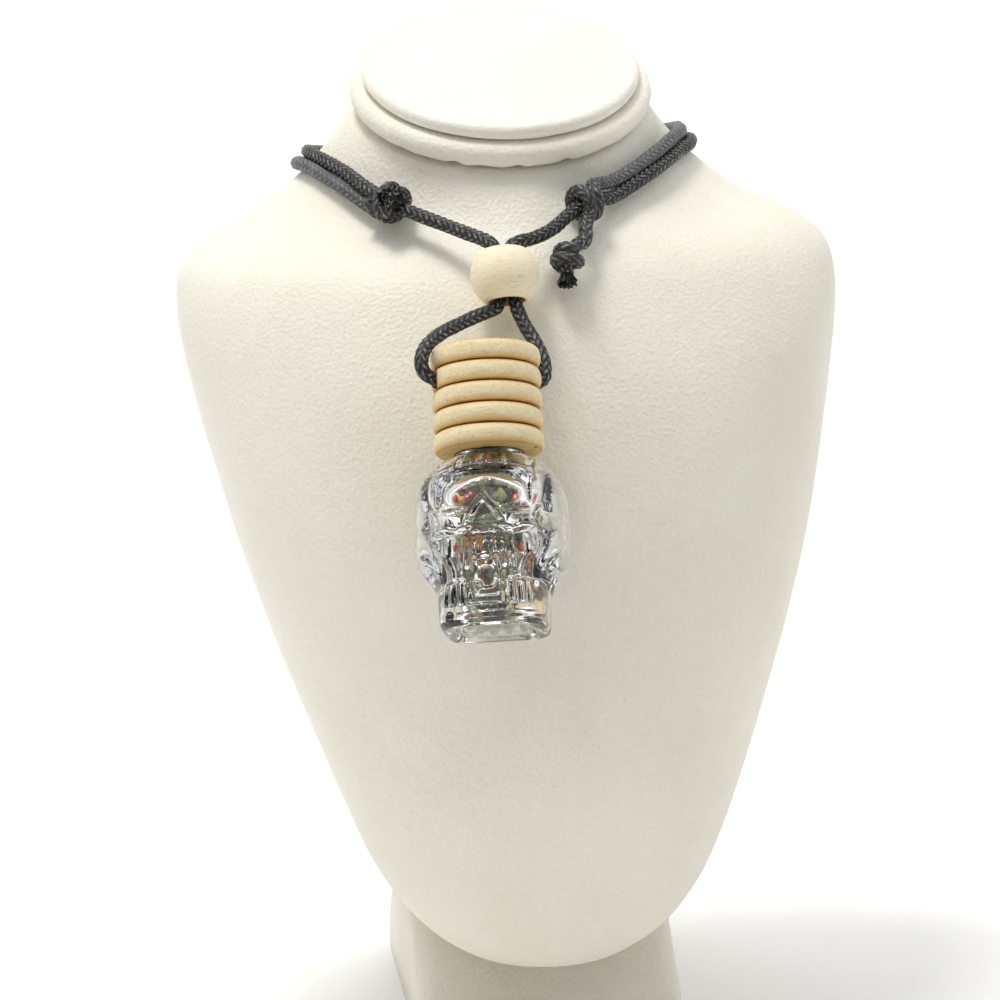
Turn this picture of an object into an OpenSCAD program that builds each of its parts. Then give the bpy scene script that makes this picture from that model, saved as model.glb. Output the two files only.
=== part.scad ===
// Bottle pendant on a neck bust: a small skull-shaped glass bottle filled with stone chips, under a
// turned wooden cap, hung by a waxed cord and a wooden bead in front of a padded display bust.
// Millimetres, +Z up, the front towards -Y, the origin at the middle of the foot's underside.

/* [Bust] */
// Height from the chest's lowest point to the middle of the neck's cut top
bust_h = 179; // [165:0.5:195]
// Width across the shoulders
shoulder_w = 144; // [130:1:165]
// How far the chest stands in front of the neck's axis
chest_d = 74.5; // [68:0.5:82]
// How far the back stands behind the neck's axis
back_d = 31; // [27:0.5:36]
// Radius of the neck at its cut top
neck_r = 31; // [28:0.5:34]
// Forward slope of the neck's top in degrees
neck_tilt = 21; // [18:1:27]
// How far the rolled collar overhangs the neck
roll_over = 1.4; // [0.5:0.1:3]
// Thickness of the rolled collar
roll_t = 5.4; // [5:0.1:8]
// How far the top cushion stands inside the rolled collar
top_inset = 2.6; // [1.5:0.1:5]
// Thickness of the top cushion
top_t = 3.4; // [3:0.1:6]
// Gap between two padded pieces of the bust
pad_gap = 0.1; // [0.1:0.05:0.3]

/* [Foot] */
// Width of the foot on the ground
foot_w = 57.5; // [50:1:70]
// Depth of the foot on the ground
foot_d = 72; // [64:1:90]
// Height of the foot's plinth
foot_h = 12; // [9:0.5:16]
// Height from the plinth to the chest's lowest point
tip_gap = 7.5; // [3:0.5:10]
// Width of the riser behind the chest
riser_w = 56; // [44:1:57]
// Radius of the foot's rounded edges
foot_round = 5; // [3:0.5:7]

/* [Bottle] */
// Height of the glass skull from its flat base to its shoulder
skull_h = 35.5; // [32:0.5:40]
// Width of the glass skull
skull_w = 31; // [28:0.5:34]
// Depth of the glass skull
skull_d = 34; // [30:0.5:38]
// Width of the hollow inside the glass
hollow_w = 19; // [16:0.5:22]
// Height of the hollow inside the glass
hollow_h = 27; // [22:0.5:28]
// Depth of the hollow inside the glass
hollow_d = 22; // [18:0.5:24]
// Width of the hollow's flat floor
floor_w = 13.5; // [10:0.5:15]
// Depth of the hollow's flat floor
floor_d = 14.5; // [11:0.5:16]
// Thickness of the glass under the hollow
floor_t = 2.6; // [2:0.1:4]
// Diameter of the bottle's neck
mouth_d = 13; // [11:0.5:15]
// Diameter of the bottle's bore
bore_d = 8; // [6:0.5:9]
// Distance from the glass shoulder to the cap
cap_gap = 0.8; // [0.4:0.1:2]
// Forward swing of the bottle's base in degrees
swing = 25; // [22:1:30]
// Sideways lean of the bottle in degrees
lean = 2.5; // [0:0.5:5]
// Turn of the skull's face in degrees
turn = 14; // [0:1:20]
// Diameter of the largest stone chip
chip_d = 3.3; // [3:0.1:4]
// Gap between two stone chips
chip_gap = 0.15; // [0.1:0.05:0.4]

/* [Cap] */
// Diameter of the wooden cap
cap_d = 22; // [20:0.5:25]
// Number of turned rings on the cap
ring_count = 5; // [4:1:6]
// Height of one turned ring
ring_h = 4.25; // [3.8:0.05:4.8]
// Depth of the groove between two rings
groove = 0.8; // [0.4:0.1:1.2]
// Clearance between the cap and the bottle's neck
cap_fit = 0.2; // [0.1:0.05:0.4]
// How far the bottle's neck goes into the cap
mouth_h = 9.4; // [7:0.1:9.6]

/* [Bead and cord] */
// Diameter of the wooden bead
bead_d = 14; // [12:0.5:16]
// Height of the wooden bead along its bore
bead_h = 10.8; // [9:0.1:12]
// Diameter of the bead's bore
bead_bore = 7; // [6.8:0.1:8]
// Diameter of the waxed cord
cord_d = 2.8; // [2.4:0.1:3.1]
// Diameter of the cross hole in the cap
hole_d = 3.8; // [3.4:0.1:4.2]
// Turn of the cross hole from the skull's own width in degrees
hole_turn = 25; // [0:1:40]
// Diameter of the cord where a knot squeezes it
wrap_d = 2.6; // [2.2:0.1:2.8]
// Clearance between a knot's turns and the strand that they hold
knot_gap = 0.15; // [0.1:0.05:0.3]
// Diameter of a frayed end
fray_d = 5.6; // [4:0.2:6.4]

/* [Hidden] */

// Shared places
neck_y = 8;
tip_z = foot_h + tip_gap;
neck_z = tip_z + bust_h;
shelf_rise = 0.087;
shelf_z = tip_z + shelf_rise * bust_h;
riser_front = 11;
riser_back = 14;
roll_r = neck_r + roll_over;

// Sections of the bust from the neck's cut top down to the tip. Columns: rise as a share of bust_h;
// half width as shares of neck_r and of half of shoulder_w; front as shares of neck_r and chest_d;
// depth of the widest line as a share of chest_d; back as shares of neck_r and back_d; roundness of
// the front and of the back; slope as a share of neck_tilt.
RISE = 0;
WIDE_NECK = 1;
WIDE_SHOULDER = 2;
FRONT_NECK = 3;
FRONT_CHEST = 4;
SIDE = 5;
BACK_NECK = 6;
BACK = 7;
ROUND_FRONT = 8;
ROUND_BACK = 9;
SLOPE = 10;
BUST = [
    [1.000, 1.00, 0.000, 1.00, 0.000, 0.000, 1.0, 0.00, 2.00, 2.0, 1.00],
    [0.986, 0.95, 0.045, 0.95, 0.025, 0.000, 0.9, 0.10, 1.90, 2.0, 0.87],
    [0.964, 0.80, 0.145, 0.85, 0.080, -0.010, 0.8, 0.20, 1.75, 2.0, 0.67],
    [0.936, 0.60, 0.290, 0.70, 0.160, -0.010, 0.7, 0.30, 1.60, 2.1, 0.48],
    [0.907, 0.40, 0.455, 0.50, 0.275, -0.005, 0.5, 0.50, 1.50, 2.2, 0.30],
    [0.879, 0.20, 0.650, 0.30, 0.400, 0.000, 0.2, 0.78, 1.50, 2.4, 0.17],
    [0.857, 0.05, 0.835, 0.10, 0.530, 0.010, 0.0, 0.95, 1.55, 2.7, 0.09],
    [0.837, 0.00, 0.945, 0.00, 0.605, 0.020, 0.0, 0.92, 1.65, 3.0, 0.04],
    [0.812, 0.00, 0.992, 0.00, 0.645, 0.035, 0.0, 0.89, 1.75, 3.2, 0.00],
    [0.772, 0.00, 1.000, 0.00, 0.705, 0.060, 0.0, 0.85, 1.85, 3.4, 0.00],
    [0.727, 0.00, 0.988, 0.00, 0.765, 0.090, 0.0, 0.82, 1.95, 3.5, 0.00],
    [0.671, 0.00, 0.960, 0.00, 0.825, 0.130, 0.0, 0.79, 2.00, 3.5, 0.00],
    [0.587, 0.00, 0.912, 0.00, 0.893, 0.190, 0.0, 0.74, 2.05, 3.5, 0.00],
    [0.503, 0.00, 0.858, 0.00, 0.940, 0.250, 0.0, 0.69, 2.10, 3.5, 0.00],
    [0.419, 0.00, 0.795, 0.00, 0.966, 0.310, 0.0, 0.65, 2.10, 3.5, 0.00],
    [0.334, 0.00, 0.720, 0.00, 0.973, 0.360, 0.0, 0.60, 2.15, 3.5, 0.00],
    [0.250, 0.00, 0.642, 0.00, 0.960, 0.410, 0.0, 0.56, 2.15, 3.5, 0.00],
    [0.177, 0.00, 0.572, 0.00, 0.933, 0.455, 0.0, 0.53, 2.15, 3.5, 0.00],
    [0.126, 0.00, 0.516, 0.00, 0.900, 0.485, 0.0, 0.52, 2.15, 3.5, 0.00],
    [shelf_rise, 0.00, 0.460, 0.00, 0.865, 0.510, 0.0, 0.50, 2.15, 3.5, 0.00],
    [shelf_rise, 0.00, 0.460, 0.00, 0.865, 0.510, 0.0, -0.65, 2.15, 2.6, 0.00],
    [0.053, 0.00, 0.388, 0.00, 0.825, 0.540, 0.0, -0.85, 2.15, 2.6, 0.00],
    [0.030, 0.00, 0.318, 0.00, 0.785, 0.565, 0.0, -1.02, 2.15, 2.4, 0.00],
    [0.013, 0.00, 0.235, 0.00, 0.745, 0.585, 0.0, -1.20, 2.10, 2.2, 0.00],
    [0.003, 0.00, 0.138, 0.00, 0.705, 0.605, 0.0, -1.38, 2.00, 2.0, 0.00],
];
bust_sides = 56;

// Sections of the glass skull from its base to the bottle's mouth. Columns: height as a share of
// skull_h; half width as a share of skull_w; face and rear depth as shares of skull_d.
LEVEL = 0;
WIDE = 1;
FACE = 2;
REAR = 3;
SKULL = [
    [0.000, 0.290, 0.350, 0.220],
    [0.012, 0.316, 0.385, 0.250],
    [0.045, 0.330, 0.402, 0.268],
    [0.100, 0.334, 0.408, 0.274],
    [0.155, 0.337, 0.412, 0.280],
    [0.210, 0.347, 0.412, 0.300],
    [0.255, 0.378, 0.404, 0.345],
    [0.300, 0.412, 0.396, 0.400],
    [0.350, 0.450, 0.396, 0.446],
    [0.400, 0.476, 0.406, 0.474],
    [0.450, 0.490, 0.416, 0.490],
    [0.500, 0.497, 0.424, 0.499],
    [0.550, 0.500, 0.432, 0.503],
    [0.600, 0.500, 0.438, 0.505],
    [0.650, 0.498, 0.444, 0.503],
    [0.700, 0.492, 0.450, 0.498],
    [0.750, 0.481, 0.455, 0.486],
    [0.800, 0.462, 0.452, 0.464],
    [0.850, 0.430, 0.436, 0.428],
    [0.895, 0.385, 0.398, 0.378],
    [0.935, 0.325, 0.338, 0.318],
    [0.968, 0.262, 0.270, 0.256],
    [0.992, 0.222, 0.214, 0.208],
];
// Hollows and swells of the face. Columns: place across as a share of skull_w, height as a share of
// skull_h, half width and half height as shares of skull_w, depth as a share of skull_w.
ACROSS = 0;
UP = 1;
HALF_W = 2;
HALF_H = 3;
DEEP = 4;
DENTS = [
    [0.180, 0.715, 0.128, 0.118, -0.080],
    [0.170, 0.840, 0.170, 0.040, 0.032],
    [0.000, 0.575, 0.072, 0.088, -0.090],
    [0.000, 0.720, 0.050, 0.080, 0.030],
    [0.300, 0.520, 0.130, 0.060, 0.045],
    [0.450, 0.430, 0.060, 0.065, 0.040],
    [0.320, 0.300, 0.085, 0.120, -0.080],
    [0.440, 0.680, 0.075, 0.130, -0.040],
    [0.000, 0.330, 0.210, 0.160, 0.028],
    [0.000, 0.115, 0.280, 0.075, 0.016],
    [0.000, 0.022, 0.320, 0.022, -0.018],
];
skull_levels = 36;
skull_top = 0.992;
neck_root = 0.9;
skull_sides = 72;

// Bead's place: it rests on the slope where the chest meets the neck
bead_rise = 0.8363;
bead_rest = 8.43;
bead_z = tip_z + bead_rise * bust_h;
bead_place = [-6.8, neck_y - chest_at(bead_z) - bead_rest, bead_z];
// Drop from the bead to the bottle's base
hang_drop = 64.2;

// Bottle's place: its base is set so that the skull's rear rests on the chest
rest_gap = 0.3;
rear_level = 0.62;
base_x = -15.5;
base_z = bead_z - hang_drop;
rear_z = base_z + rear_level * skull_h * cos(swing) - skull_d / 2 * sin(swing);
base_y = neck_y - chest_at(rear_z) - rest_gap - rear_level * skull_h * sin(swing)
    - skull_d / 2 * cos(swing);
cap_h = ring_count * ring_h;
cap_z = skull_h + cap_gap;
hole_z = cap_z + cap_h - 1.5 * ring_h;
hollow_z = 0.5 * skull_h;

// Radius of a cap ring's outer edge
edge = 1.5;

// Route of the cord that leaves the cap's left side, goes through the bead and the left knot and round
// behind the neck, and ends at the right knot
LEFT_ROUTE = [
    [-13.5, -63.7, 151.3], [-19, -64.8, 152.1], [-23.8, -65.7, 152.8], [-26, -66.1, 154.3],
    [-26.4, -65.1, 156.3], [-25.6, -63.2, 158.1], [-23.8, -60.6, 159.5], [-20.9, -57.5, 160.6],
    [-17.5, -54.5, 161.4], [-14.2, -52, 162.2], [-11.3, -50.2, 162.8], [-9.2, -48.9, 163.4],
    [-8.4, -47.7, 165.1], [-8.4, -46.3, 167.6], [-8.4, -44.5, 171.5], [-8.5, -43, 174.6],
    [-10, -40.6, 175.9], [-13.6, -36, 177], [-18, -31, 178.4], [-22.7, -25.9, 179.9],
    [-27.2, -20.8, 181.6], [-31.6, -13.6, 184.2], [-35, -6, 186.4], [-38.3, 1, 187.9],
    [-40.7, 8.6, 188.6], [-41.1, 14.3, 188.5], [-40.6, 20.9, 187.7], [-38.4, 26.3, 186.8],
    [-34.6, 30.8, 186], [-30, 34.3, 185.4], [-23.7, 37.2, 184.9], [-15.6, 39.3, 184.5],
    [-7.6, 40.3, 184.2], [0, 40.6, 184.1], [7.6, 40.4, 184.2], [16.2, 39.3, 184.6], [24.9, 36.7, 185.4],
    [30.4, 33.7, 186.2], [34.7, 30.1, 187.1], [37.9, 25.3, 188.1], [39.6, 19.9, 189.1],
    [39.9, 14.9, 189.8], [38.9, 6.6, 190.1], [35.6, -1.2, 189.6], [31.4, -7.9, 188],
    [26.8, -13.2, 186.1], [22.2, -17.6, 184.4], [18.6, -21.3, 183.8], [14.6, -25.9, 184.1],
];
// Route of the cord that leaves the cap's right side, goes through the bead and the right knot and
// round behind the neck, and ends at the left knot
RIGHT_ROUTE = [
    [-13.5, -63.7, 151.3], [-8, -62.6, 150.5], [-4, -62, 150.1], [-1.9, -61.2, 150.5],
    [-1.2, -60, 151.9], [-1.2, -58.5, 153.8], [-1.8, -56.8, 155.8], [-2.7, -54.8, 157.8],
    [-3.8, -52.8, 159.8], [-4.6, -50.9, 161.7], [-5.1, -49, 163.6], [-5.2, -47.2, 165.8],
    [-5.2, -44.5, 171.5], [-5.1, -43.1, 174.4], [-3.2, -41.9, 175.4], [0.2, -40, 175.8],
    [4.4, -36.7, 176.9], [8.4, -32.7, 179], [12.1, -28.7, 180.6], [15.9, -25.4, 180.8],
    [19.5, -22.2, 180.8], [23.4, -18.5, 182], [27.4, -14.8, 183.5], [32.4, -8.9, 185.3],
    [37, -1.8, 186.9], [40.6, 5.4, 187.4], [42.4, 14.5, 187.3], [41.9, 20.5, 186.5], [39.9, 26.1, 185.3],
    [36.3, 31, 184.2], [31.4, 34.6, 183.3], [25.4, 37.3, 182.5], [16.3, 39.4, 181.6], [7.5, 40.2, 181.1],
    [0, 40.4, 180.9], [-7.5, 40.2, 181], [-15.6, 39.4, 181.3], [-24.1, 37.7, 181.8], [-31, 35.1, 182.4],
    [-36.3, 31.8, 183.2], [-40.3, 27.1, 184.2], [-42.7, 21.4, 185.2], [-43.6, 14.6, 186],
    [-42.9, 8.5, 186.5], [-41, 3.2, 186], [-38.6, -2.3, 184.8], [-35.8, -7.6, 183.4],
    [-33, -12.6, 181.6], [-30.3, -17.2, 179.9],
];
// Loose end of the cord below the right knot
TAIL_ROUTE = [
    [13.8, -32.5, 177.8], [13.1, -34.3, 175.2], [11, -35.9, 173.8], [8.4, -37.6, 173.4],
    [7, -39.6, 172.2], [6.6, -40.9, 169.8], [6.4, -42.2, 167.2],
];
left_knot_place = [-27.2, -20.8, 181.6];
left_knot_way = [-8.8, 12.2, 4.2];
left_fray_place = [-27.5, -23.4, 182.5];
left_fray_way = [-0.7, -6, 2.2];
right_knot_place = [12.1, -28.7, 180.6];
right_knot_way = [7.5, 7.3, 1.4];
tail_knot_place = [6.8, -40.2, 171.1];
tail_knot_way = [-0.6, -2, -4.4];
tail_fray_way = [-0.2, -1.2, -2.6];
// Turns of each knot, the angles in degrees where they begin, and the lengths of the frayed ends
knot_turns = 2.1;
stopper_turns = 1.1;
left_knot_start = 150;
right_knot_start = 240;
tail_knot_start = 60;
left_fray_long = 3.8;
tail_fray_long = 2.6;
// Size of the cord inside the stopper knot, which its own turn grips
stopper_core = 1.6;

// Colours
hide = [0.95, 0.94, 0.91];
wood = [0.88, 0.80, 0.64];
glass = [0.80, 0.88, 0.88, 0.55];
stone = [0.36, 0.38, 0.30];
waxed = [0.13, 0.13, 0.14];

// Value to a power that keeps its sign
function bulge(c, p) = sign(c) * pow(abs(c), p);

// Front of the chest at a height, ahead of the neck's axis
function chest_at(z) = chest_d * lookup((z - tip_z) / bust_h,
    [for (row = BUST) if (row[RISE] < 0.85 && row[FRONT_NECK] == 0) [row[RISE], row[FRONT_CHEST]]]);

// One point of a bust section, at the angle a from the right side
function bust_point(row, a) =
    let (front = neck_r * row[FRONT_NECK] + chest_d * row[FRONT_CHEST],
         side = chest_d * row[SIDE],
         back = -(neck_r * row[BACK_NECK] + back_d * row[BACK]),
         wide = neck_r * row[WIDE_NECK] + shoulder_w / 2 * row[WIDE_SHOULDER],
         soft = sin(a) < 0 ? row[ROUND_FRONT] : row[ROUND_BACK],
         reach = sin(a) < 0 ? front - side : back - side,
         ahead = side + reach * pow(abs(sin(a)), 2 / soft),
         slope = neck_tilt * row[SLOPE])
    [wide * bulge(cos(a), 2 / soft), neck_y - ahead * cos(slope),
     tip_z + row[RISE] * bust_h - ahead * sin(slope)];

// Faces of rings of n points that are stacked downwards, closed at both ends
function stack_faces(n, rings) = concat(
    [[for (i = [n - 1:-1:0]) i]],
    [for (r = [0:rings - 2]) for (i = [0:n - 1]) for (half = [0, 1])
        let (j = (i + 1) % n)
        half == 0 ? [r * n + i, r * n + j, (r + 1) * n + i]
                  : [r * n + j, (r + 1) * n + j, (r + 1) * n + i]],
    [[for (i = [0:n - 1]) (rings - 1) * n + i]]);

// Push of the face's hollows and swells at x across and h up
function dent(x, h) = skull_w * sum([for (d = DENTS)
    let (u = (abs(x) / skull_w - d[ACROSS]) / d[HALF_W], v = (h - d[UP]) * skull_h / skull_w / d[HALF_H])
    d[DEEP] * exp(-pow(u * u + v * v, 1.4))]);
function sum(v, i = 0) = i < len(v) ? v[i] + sum(v, i + 1) : 0;

// Share from a column of the skull's table at a level
function skull_share(column, level) = lookup(level, [for (row = SKULL) [row[LEVEL], row[column]]]);

// One point of the skull at a level, at the angle a from the right side
function skull_point(level, a) =
    let (ahead = sin(a) < 0,
         soft = level < 0.28 ? 3.2 - 3 * max(0, level - 0.15) : 2.15,
         x = skull_w * skull_share(WIDE, level) * bulge(cos(a), 2 / soft),
         y = skull_d * skull_share(ahead ? FACE : REAR, level) * bulge(sin(a), 2 / soft),
         push = ahead && level < 0.95 ? dent(x, level) * min(1, 1.6 * abs(sin(a))) : 0,
         far = max(1, norm([x, y])))
    [x * (1 + push / far), y * (1 + push / far), level * skull_h];

function unit(v) = v / norm(v);

// Points of a tube along a route: rings of n points that turn as little as they can
function route_dir(p, i) = unit(p[min(i + 1, len(p) - 1)] - p[max(i - 1, 0)]);
function carried(side, dir) = unit(side - (side * dir) * dir);
function sides_along(p, i, side) = i == len(p) ? [] :
    let (now = carried(side, route_dir(p, i))) concat([now], sides_along(p, i + 1, now));
function first_side(dir) = abs(dir[2]) < 0.9 ? cross(dir, [0, 0, 1]) : cross(dir, [1, 0, 0]);
function tube_points(p, d, n) =
    let (sides = sides_along(p, 0, first_side(route_dir(p, 0))))
    [for (i = [0:len(p) - 1]) let (dir = route_dir(p, i), up = cross(sides[i], dir))
        for (k = [0:n - 1]) p[i] + d / 2 * (cos(k * 360 / n) * sides[i] + sin(k * 360 / n) * up)];

module tube(p, d, n) {
    polyhedron(tube_points(p, d, n), stack_faces(n, len(p)), convexity = 10);
}

// Turns a piece from the bottle's own place to its hanging place
module hung() {
    translate([base_x, base_y, base_z]) rotate([0, lean, 0]) rotate([-swing, 0, 0])
        rotate([0, 0, -turn]) children();
}

// Places a piece on the neck's sloped top
module on_neck() {
    translate([0, neck_y, neck_z]) rotate([neck_tilt, 0, 0]) children();
}

// Flat pad with a half-round rim
module pad(r, t) {
    rotate_extrude($fn = 96) {
        square([r - t / 2, t]);
        intersection() {
            translate([r - t / 2, t / 2]) circle(d = t, $fn = 32);
            square([r, t]);
        }
    }
}

module bust_body() {
    color(hide)
        polyhedron([for (row = BUST) for (i = [0:bust_sides - 1]) bust_point(row, i * 360 / bust_sides)],
            stack_faces(bust_sides, len(BUST)), convexity = 6);
}

module bust_roll() {
    color(hide) on_neck() translate([0, 0, pad_gap]) pad(roll_r, roll_t);
}

module bust_top() {
    color(hide) on_neck() translate([0, 0, 2 * pad_gap + roll_t]) pad(roll_r - top_inset, top_t);
}

// Foot: a plinth with rounded edges that tapers up to the chest's flat underside
module bust_foot() {
    color(hide) hull() {
        rounded_block(foot_w, foot_d, foot_h, foot_round);
        translate([0, (riser_back - riser_front) / 2, shelf_z - 1]) linear_extrude(1)
            rounded_plan(riser_w, riser_front + riser_back, foot_round);
    }
}

module rounded_plan(w, d, r) {
    hull() for (x = [-1, 1], y = [-1, 1])
        translate([x * (w / 2 - r), y * (d / 2 - r)]) circle(r = r, $fn = 32);
}

module rounded_block(w, d, h, r) {
    hull() {
        linear_extrude(h - r) rounded_plan(w, d, r);
        translate([0, 0, h - r]) for (x = [-1, 1], y = [-1, 1])
            translate([x * (w / 2 - r), y * (d / 2 - r)]) sphere(r = r, $fn = 24);
    }
}

// Glass skull with its neck, hollow and open at the mouth
module glass_bottle() {
    color(glass) hung() difference() {
        union() {
            polyhedron([for (r = [skull_levels:-1:0]) for (i = [0:skull_sides - 1])
                    skull_point(skull_top * pow(r / skull_levels, 1.06), i * 360 / skull_sides)],
                stack_faces(skull_sides, skull_levels + 1), convexity = 6);
            translate([0, 0, neck_root * skull_h])
                cylinder(d = mouth_d, h = cap_z + mouth_h - neck_root * skull_h, $fn = 48);
        }
        hull() {
            translate([0, 0, hollow_z]) resize([hollow_w, hollow_d, hollow_h]) sphere(d = hollow_h, $fn = 32);
            translate([0, 0, floor_t]) resize([floor_w, floor_d, 1]) cylinder(d = floor_d, h = 1, $fn = 32);
        }
        translate([0, 0, hollow_z]) cylinder(d = bore_d, h = skull_h + mouth_h, $fn = 32);
    }
}

// Stone chips: cut pebbles on a close lattice inside the hollow, each clear of the next
chip_step = chip_d + chip_gap;
chip_room = chip_d / 2 + chip_gap;
function in_hollow(p) =
    pow(p[0] / (hollow_w / 2 - chip_room), 2) + pow(p[1] / (hollow_d / 2 - chip_room), 2)
    + pow(p[2] / (hollow_h / 2 - chip_room), 2) < 1;
// Lower part of the hollow, which narrows to its flat floor
function in_floor(p) =
    let (down = -p[2] / (hollow_z - floor_t),
         w = hollow_w / 2 + down * (floor_w - hollow_w) / 2 - chip_room,
         d = hollow_d / 2 + down * (floor_d - hollow_d) / 2 - chip_room)
    down > 0 && hollow_z + p[2] > floor_t + chip_room && pow(p[0] / w, 2) + pow(p[1] / d, 2) < 1;
function in_bore(p) = norm([p[0], p[1]]) < bore_d / 2 - chip_room && p[2] > 0
    && hollow_z + p[2] < cap_z + mouth_h / 2;
function lattice(i, j, k) = chip_step * [i + j / 2 + k / 2, sqrt(3) * (j / 2 + k / 6), k * sqrt(2 / 3)];

module chip(seed) {
    r = rands(0.75, 1, 12, seed);
    t = rands(0, 360, 3, seed + 500);
    g = (1 + sqrt(5)) / 2;
    corners = [[0, 1, g], [0, 1, -g], [0, -1, g], [0, -1, -g], [1, g, 0], [1, -g, 0], [-1, g, 0],
               [-1, -g, 0], [g, 0, 1], [-g, 0, 1], [g, 0, -1], [-g, 0, -1]];
    rotate(t) hull() polyhedron([for (i = [0:11]) chip_d / 2 * r[i] * unit(corners[i])],
        [[0, 1, 2], [3, 4, 5], [6, 7, 8], [9, 10, 11]]);
}

module stone_chips() {
    color(stone) hung() translate([0, 0, hollow_z])
        for (k = [-5:7]) for (j = [-8:8]) for (i = [-9:9])
            let (p = lattice(i, j, k))
            if (in_hollow(p) || in_floor(p) || in_bore(p)) translate(p) chip(i + 20 * j + 400 * k + 9000);
}

// Turned cap of rounded rings, with a blind bore for the bottle's neck and a cross hole for the cord
module wood_cap() {
    color(wood) hung() translate([0, 0, cap_z]) difference() {
        rotate_extrude($fn = 96) {
            square([cap_d / 2 - groove, cap_h]);
            for (i = [0:ring_count - 1]) translate([0, i * ring_h]) ring_outline();
        }
        translate([0, 0, -1]) cylinder(d = mouth_d + 2 * cap_fit, h = mouth_h + cap_fit + 1, $fn = 48);
        translate([0, 0, hole_z - cap_z]) rotate([0, 0, hole_turn]) rotate([0, 90, 0])
            cylinder(d = hole_d, h = cap_d + 2, center = true, $fn = 32);
    }
}

// Half outline of one ring, its outer edge swollen
module ring_outline() {
    intersection() {
        hull() for (z = [edge, ring_h - edge])
            translate([cap_d / 2 - edge, z]) circle(r = edge, $fn = 32);
        translate([cap_d / 2 - 2 * edge, 0]) square([2 * edge, ring_h]);
    }
}

// Bead with flat ends and a round bore for both strands
module wood_bead() {
    color(wood) translate(bead_place) rotate([-swing, 0, 0]) rotate_extrude($fn = 72)
        difference() {
            intersection() {
                circle(d = bead_d, $fn = 72);
                translate([0, -bead_h / 2]) square([bead_d, bead_h]);
            }
            translate([0, -bead_h]) square([bead_bore / 2, 2 * bead_h]);
        }
}

module cord_left() {
    color(waxed) tube(LEFT_ROUTE, cord_d, 8);
}

module cord_right() {
    color(waxed) tube(RIGHT_ROUTE, cord_d, 8);
}

// Knot tied round the passing strand, its frayed end towards the front
module left_knot() {
    color(waxed) {
        wrap(left_knot_place, left_knot_way, cord_d, wrap_d, knot_turns, left_knot_start);
        fray(left_fray_place, left_fray_way, left_fray_long);
    }
}

module right_knot() {
    color(waxed) wrap(right_knot_place, right_knot_way, cord_d, wrap_d, knot_turns, right_knot_start);
}

// Loose end with a stopper knot and a frayed tip
module tail_knot() {
    color(waxed) {
        tube(TAIL_ROUTE, wrap_d, 8);
        wrap(tail_knot_place, tail_knot_way, stopper_core, wrap_d, stopper_turns, tail_knot_start);
        fray(TAIL_ROUTE[len(TAIL_ROUTE) - 1] - 0.4 * unit(tail_fray_way), tail_fray_way, tail_fray_long);
    }
}

// Turns of squeezed cord round a strand of diameter core that runs along way
module wrap(place, way, core, thick, turns, start) {
    dir = unit(way);
    side = unit(first_side(dir));
    up = cross(dir, side);
    r = (core + thick) / 2 + knot_gap;
    steps = ceil(turns * 10);
    tube([for (s = [0:steps]) let (a = start + s * 360 * turns / steps)
        place + dir * (thick + knot_gap) * ((a - start) / 360 - turns / 2)
            + r * (cos(a) * side + sin(a) * up)], thick, 8);
}

// Flared tuft of loose threads
module fray(place, way, long) {
    dir = unit(way);
    translate(place) rotate([0, acos(dir[2]), atan2(dir[1], dir[0])])
        cylinder(d1 = wrap_d - 0.4, d2 = fray_d, h = long, $fn = 10);
}

bust_body();
bust_top();
bust_roll();
bust_foot();
glass_bottle();
stone_chips();
wood_cap();
wood_bead();
cord_left();
cord_right();
left_knot();
right_knot();
tail_knot();
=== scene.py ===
"""Bottle pendant on a neck bust: a glass skull bottle of stone chips under a turned wooden cap, hung by a
waxed cord and a wooden bead in front of a padded display bust. Metres, +Z up, the front towards -Y."""

import math

import bmesh
import bpy
import numpy as np
from mathutils import Matrix, Vector, noise


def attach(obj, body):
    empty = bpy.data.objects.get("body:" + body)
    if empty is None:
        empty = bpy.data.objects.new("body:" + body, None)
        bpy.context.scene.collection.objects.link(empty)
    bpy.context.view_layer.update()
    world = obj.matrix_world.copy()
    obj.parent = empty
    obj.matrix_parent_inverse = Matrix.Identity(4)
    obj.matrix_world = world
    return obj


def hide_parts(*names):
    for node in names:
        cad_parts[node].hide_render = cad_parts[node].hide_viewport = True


bl_info = {
    "name": "Bottle pendant on a neck bust",
    "version": (1, 0, 0),
    "blender": (4, 5, 0),
    "location": "View3D > Sidebar > Pendant",
    "description": "Builds a skull-shaped glass bottle pendant on a padded neck bust",
    "category": "Object",
}

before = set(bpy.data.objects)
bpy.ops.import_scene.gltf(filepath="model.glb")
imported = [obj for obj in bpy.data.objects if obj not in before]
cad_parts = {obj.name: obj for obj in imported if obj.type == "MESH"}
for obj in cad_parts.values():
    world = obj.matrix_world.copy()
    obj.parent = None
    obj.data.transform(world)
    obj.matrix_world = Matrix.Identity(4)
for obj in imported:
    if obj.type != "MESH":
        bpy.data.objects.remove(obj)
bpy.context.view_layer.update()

MM = 0.001


# Colours and materials


def linear(text):
    """Turn an sRGB hex colour into the linear colour that Blender works in."""
    parts = [int(text[i:i + 2], 16) / 255 for i in (1, 3, 5)]
    return tuple(c / 12.92 if c <= 0.04045 else ((c + 0.055) / 1.055) ** 2.4 for c in parts)


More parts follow.
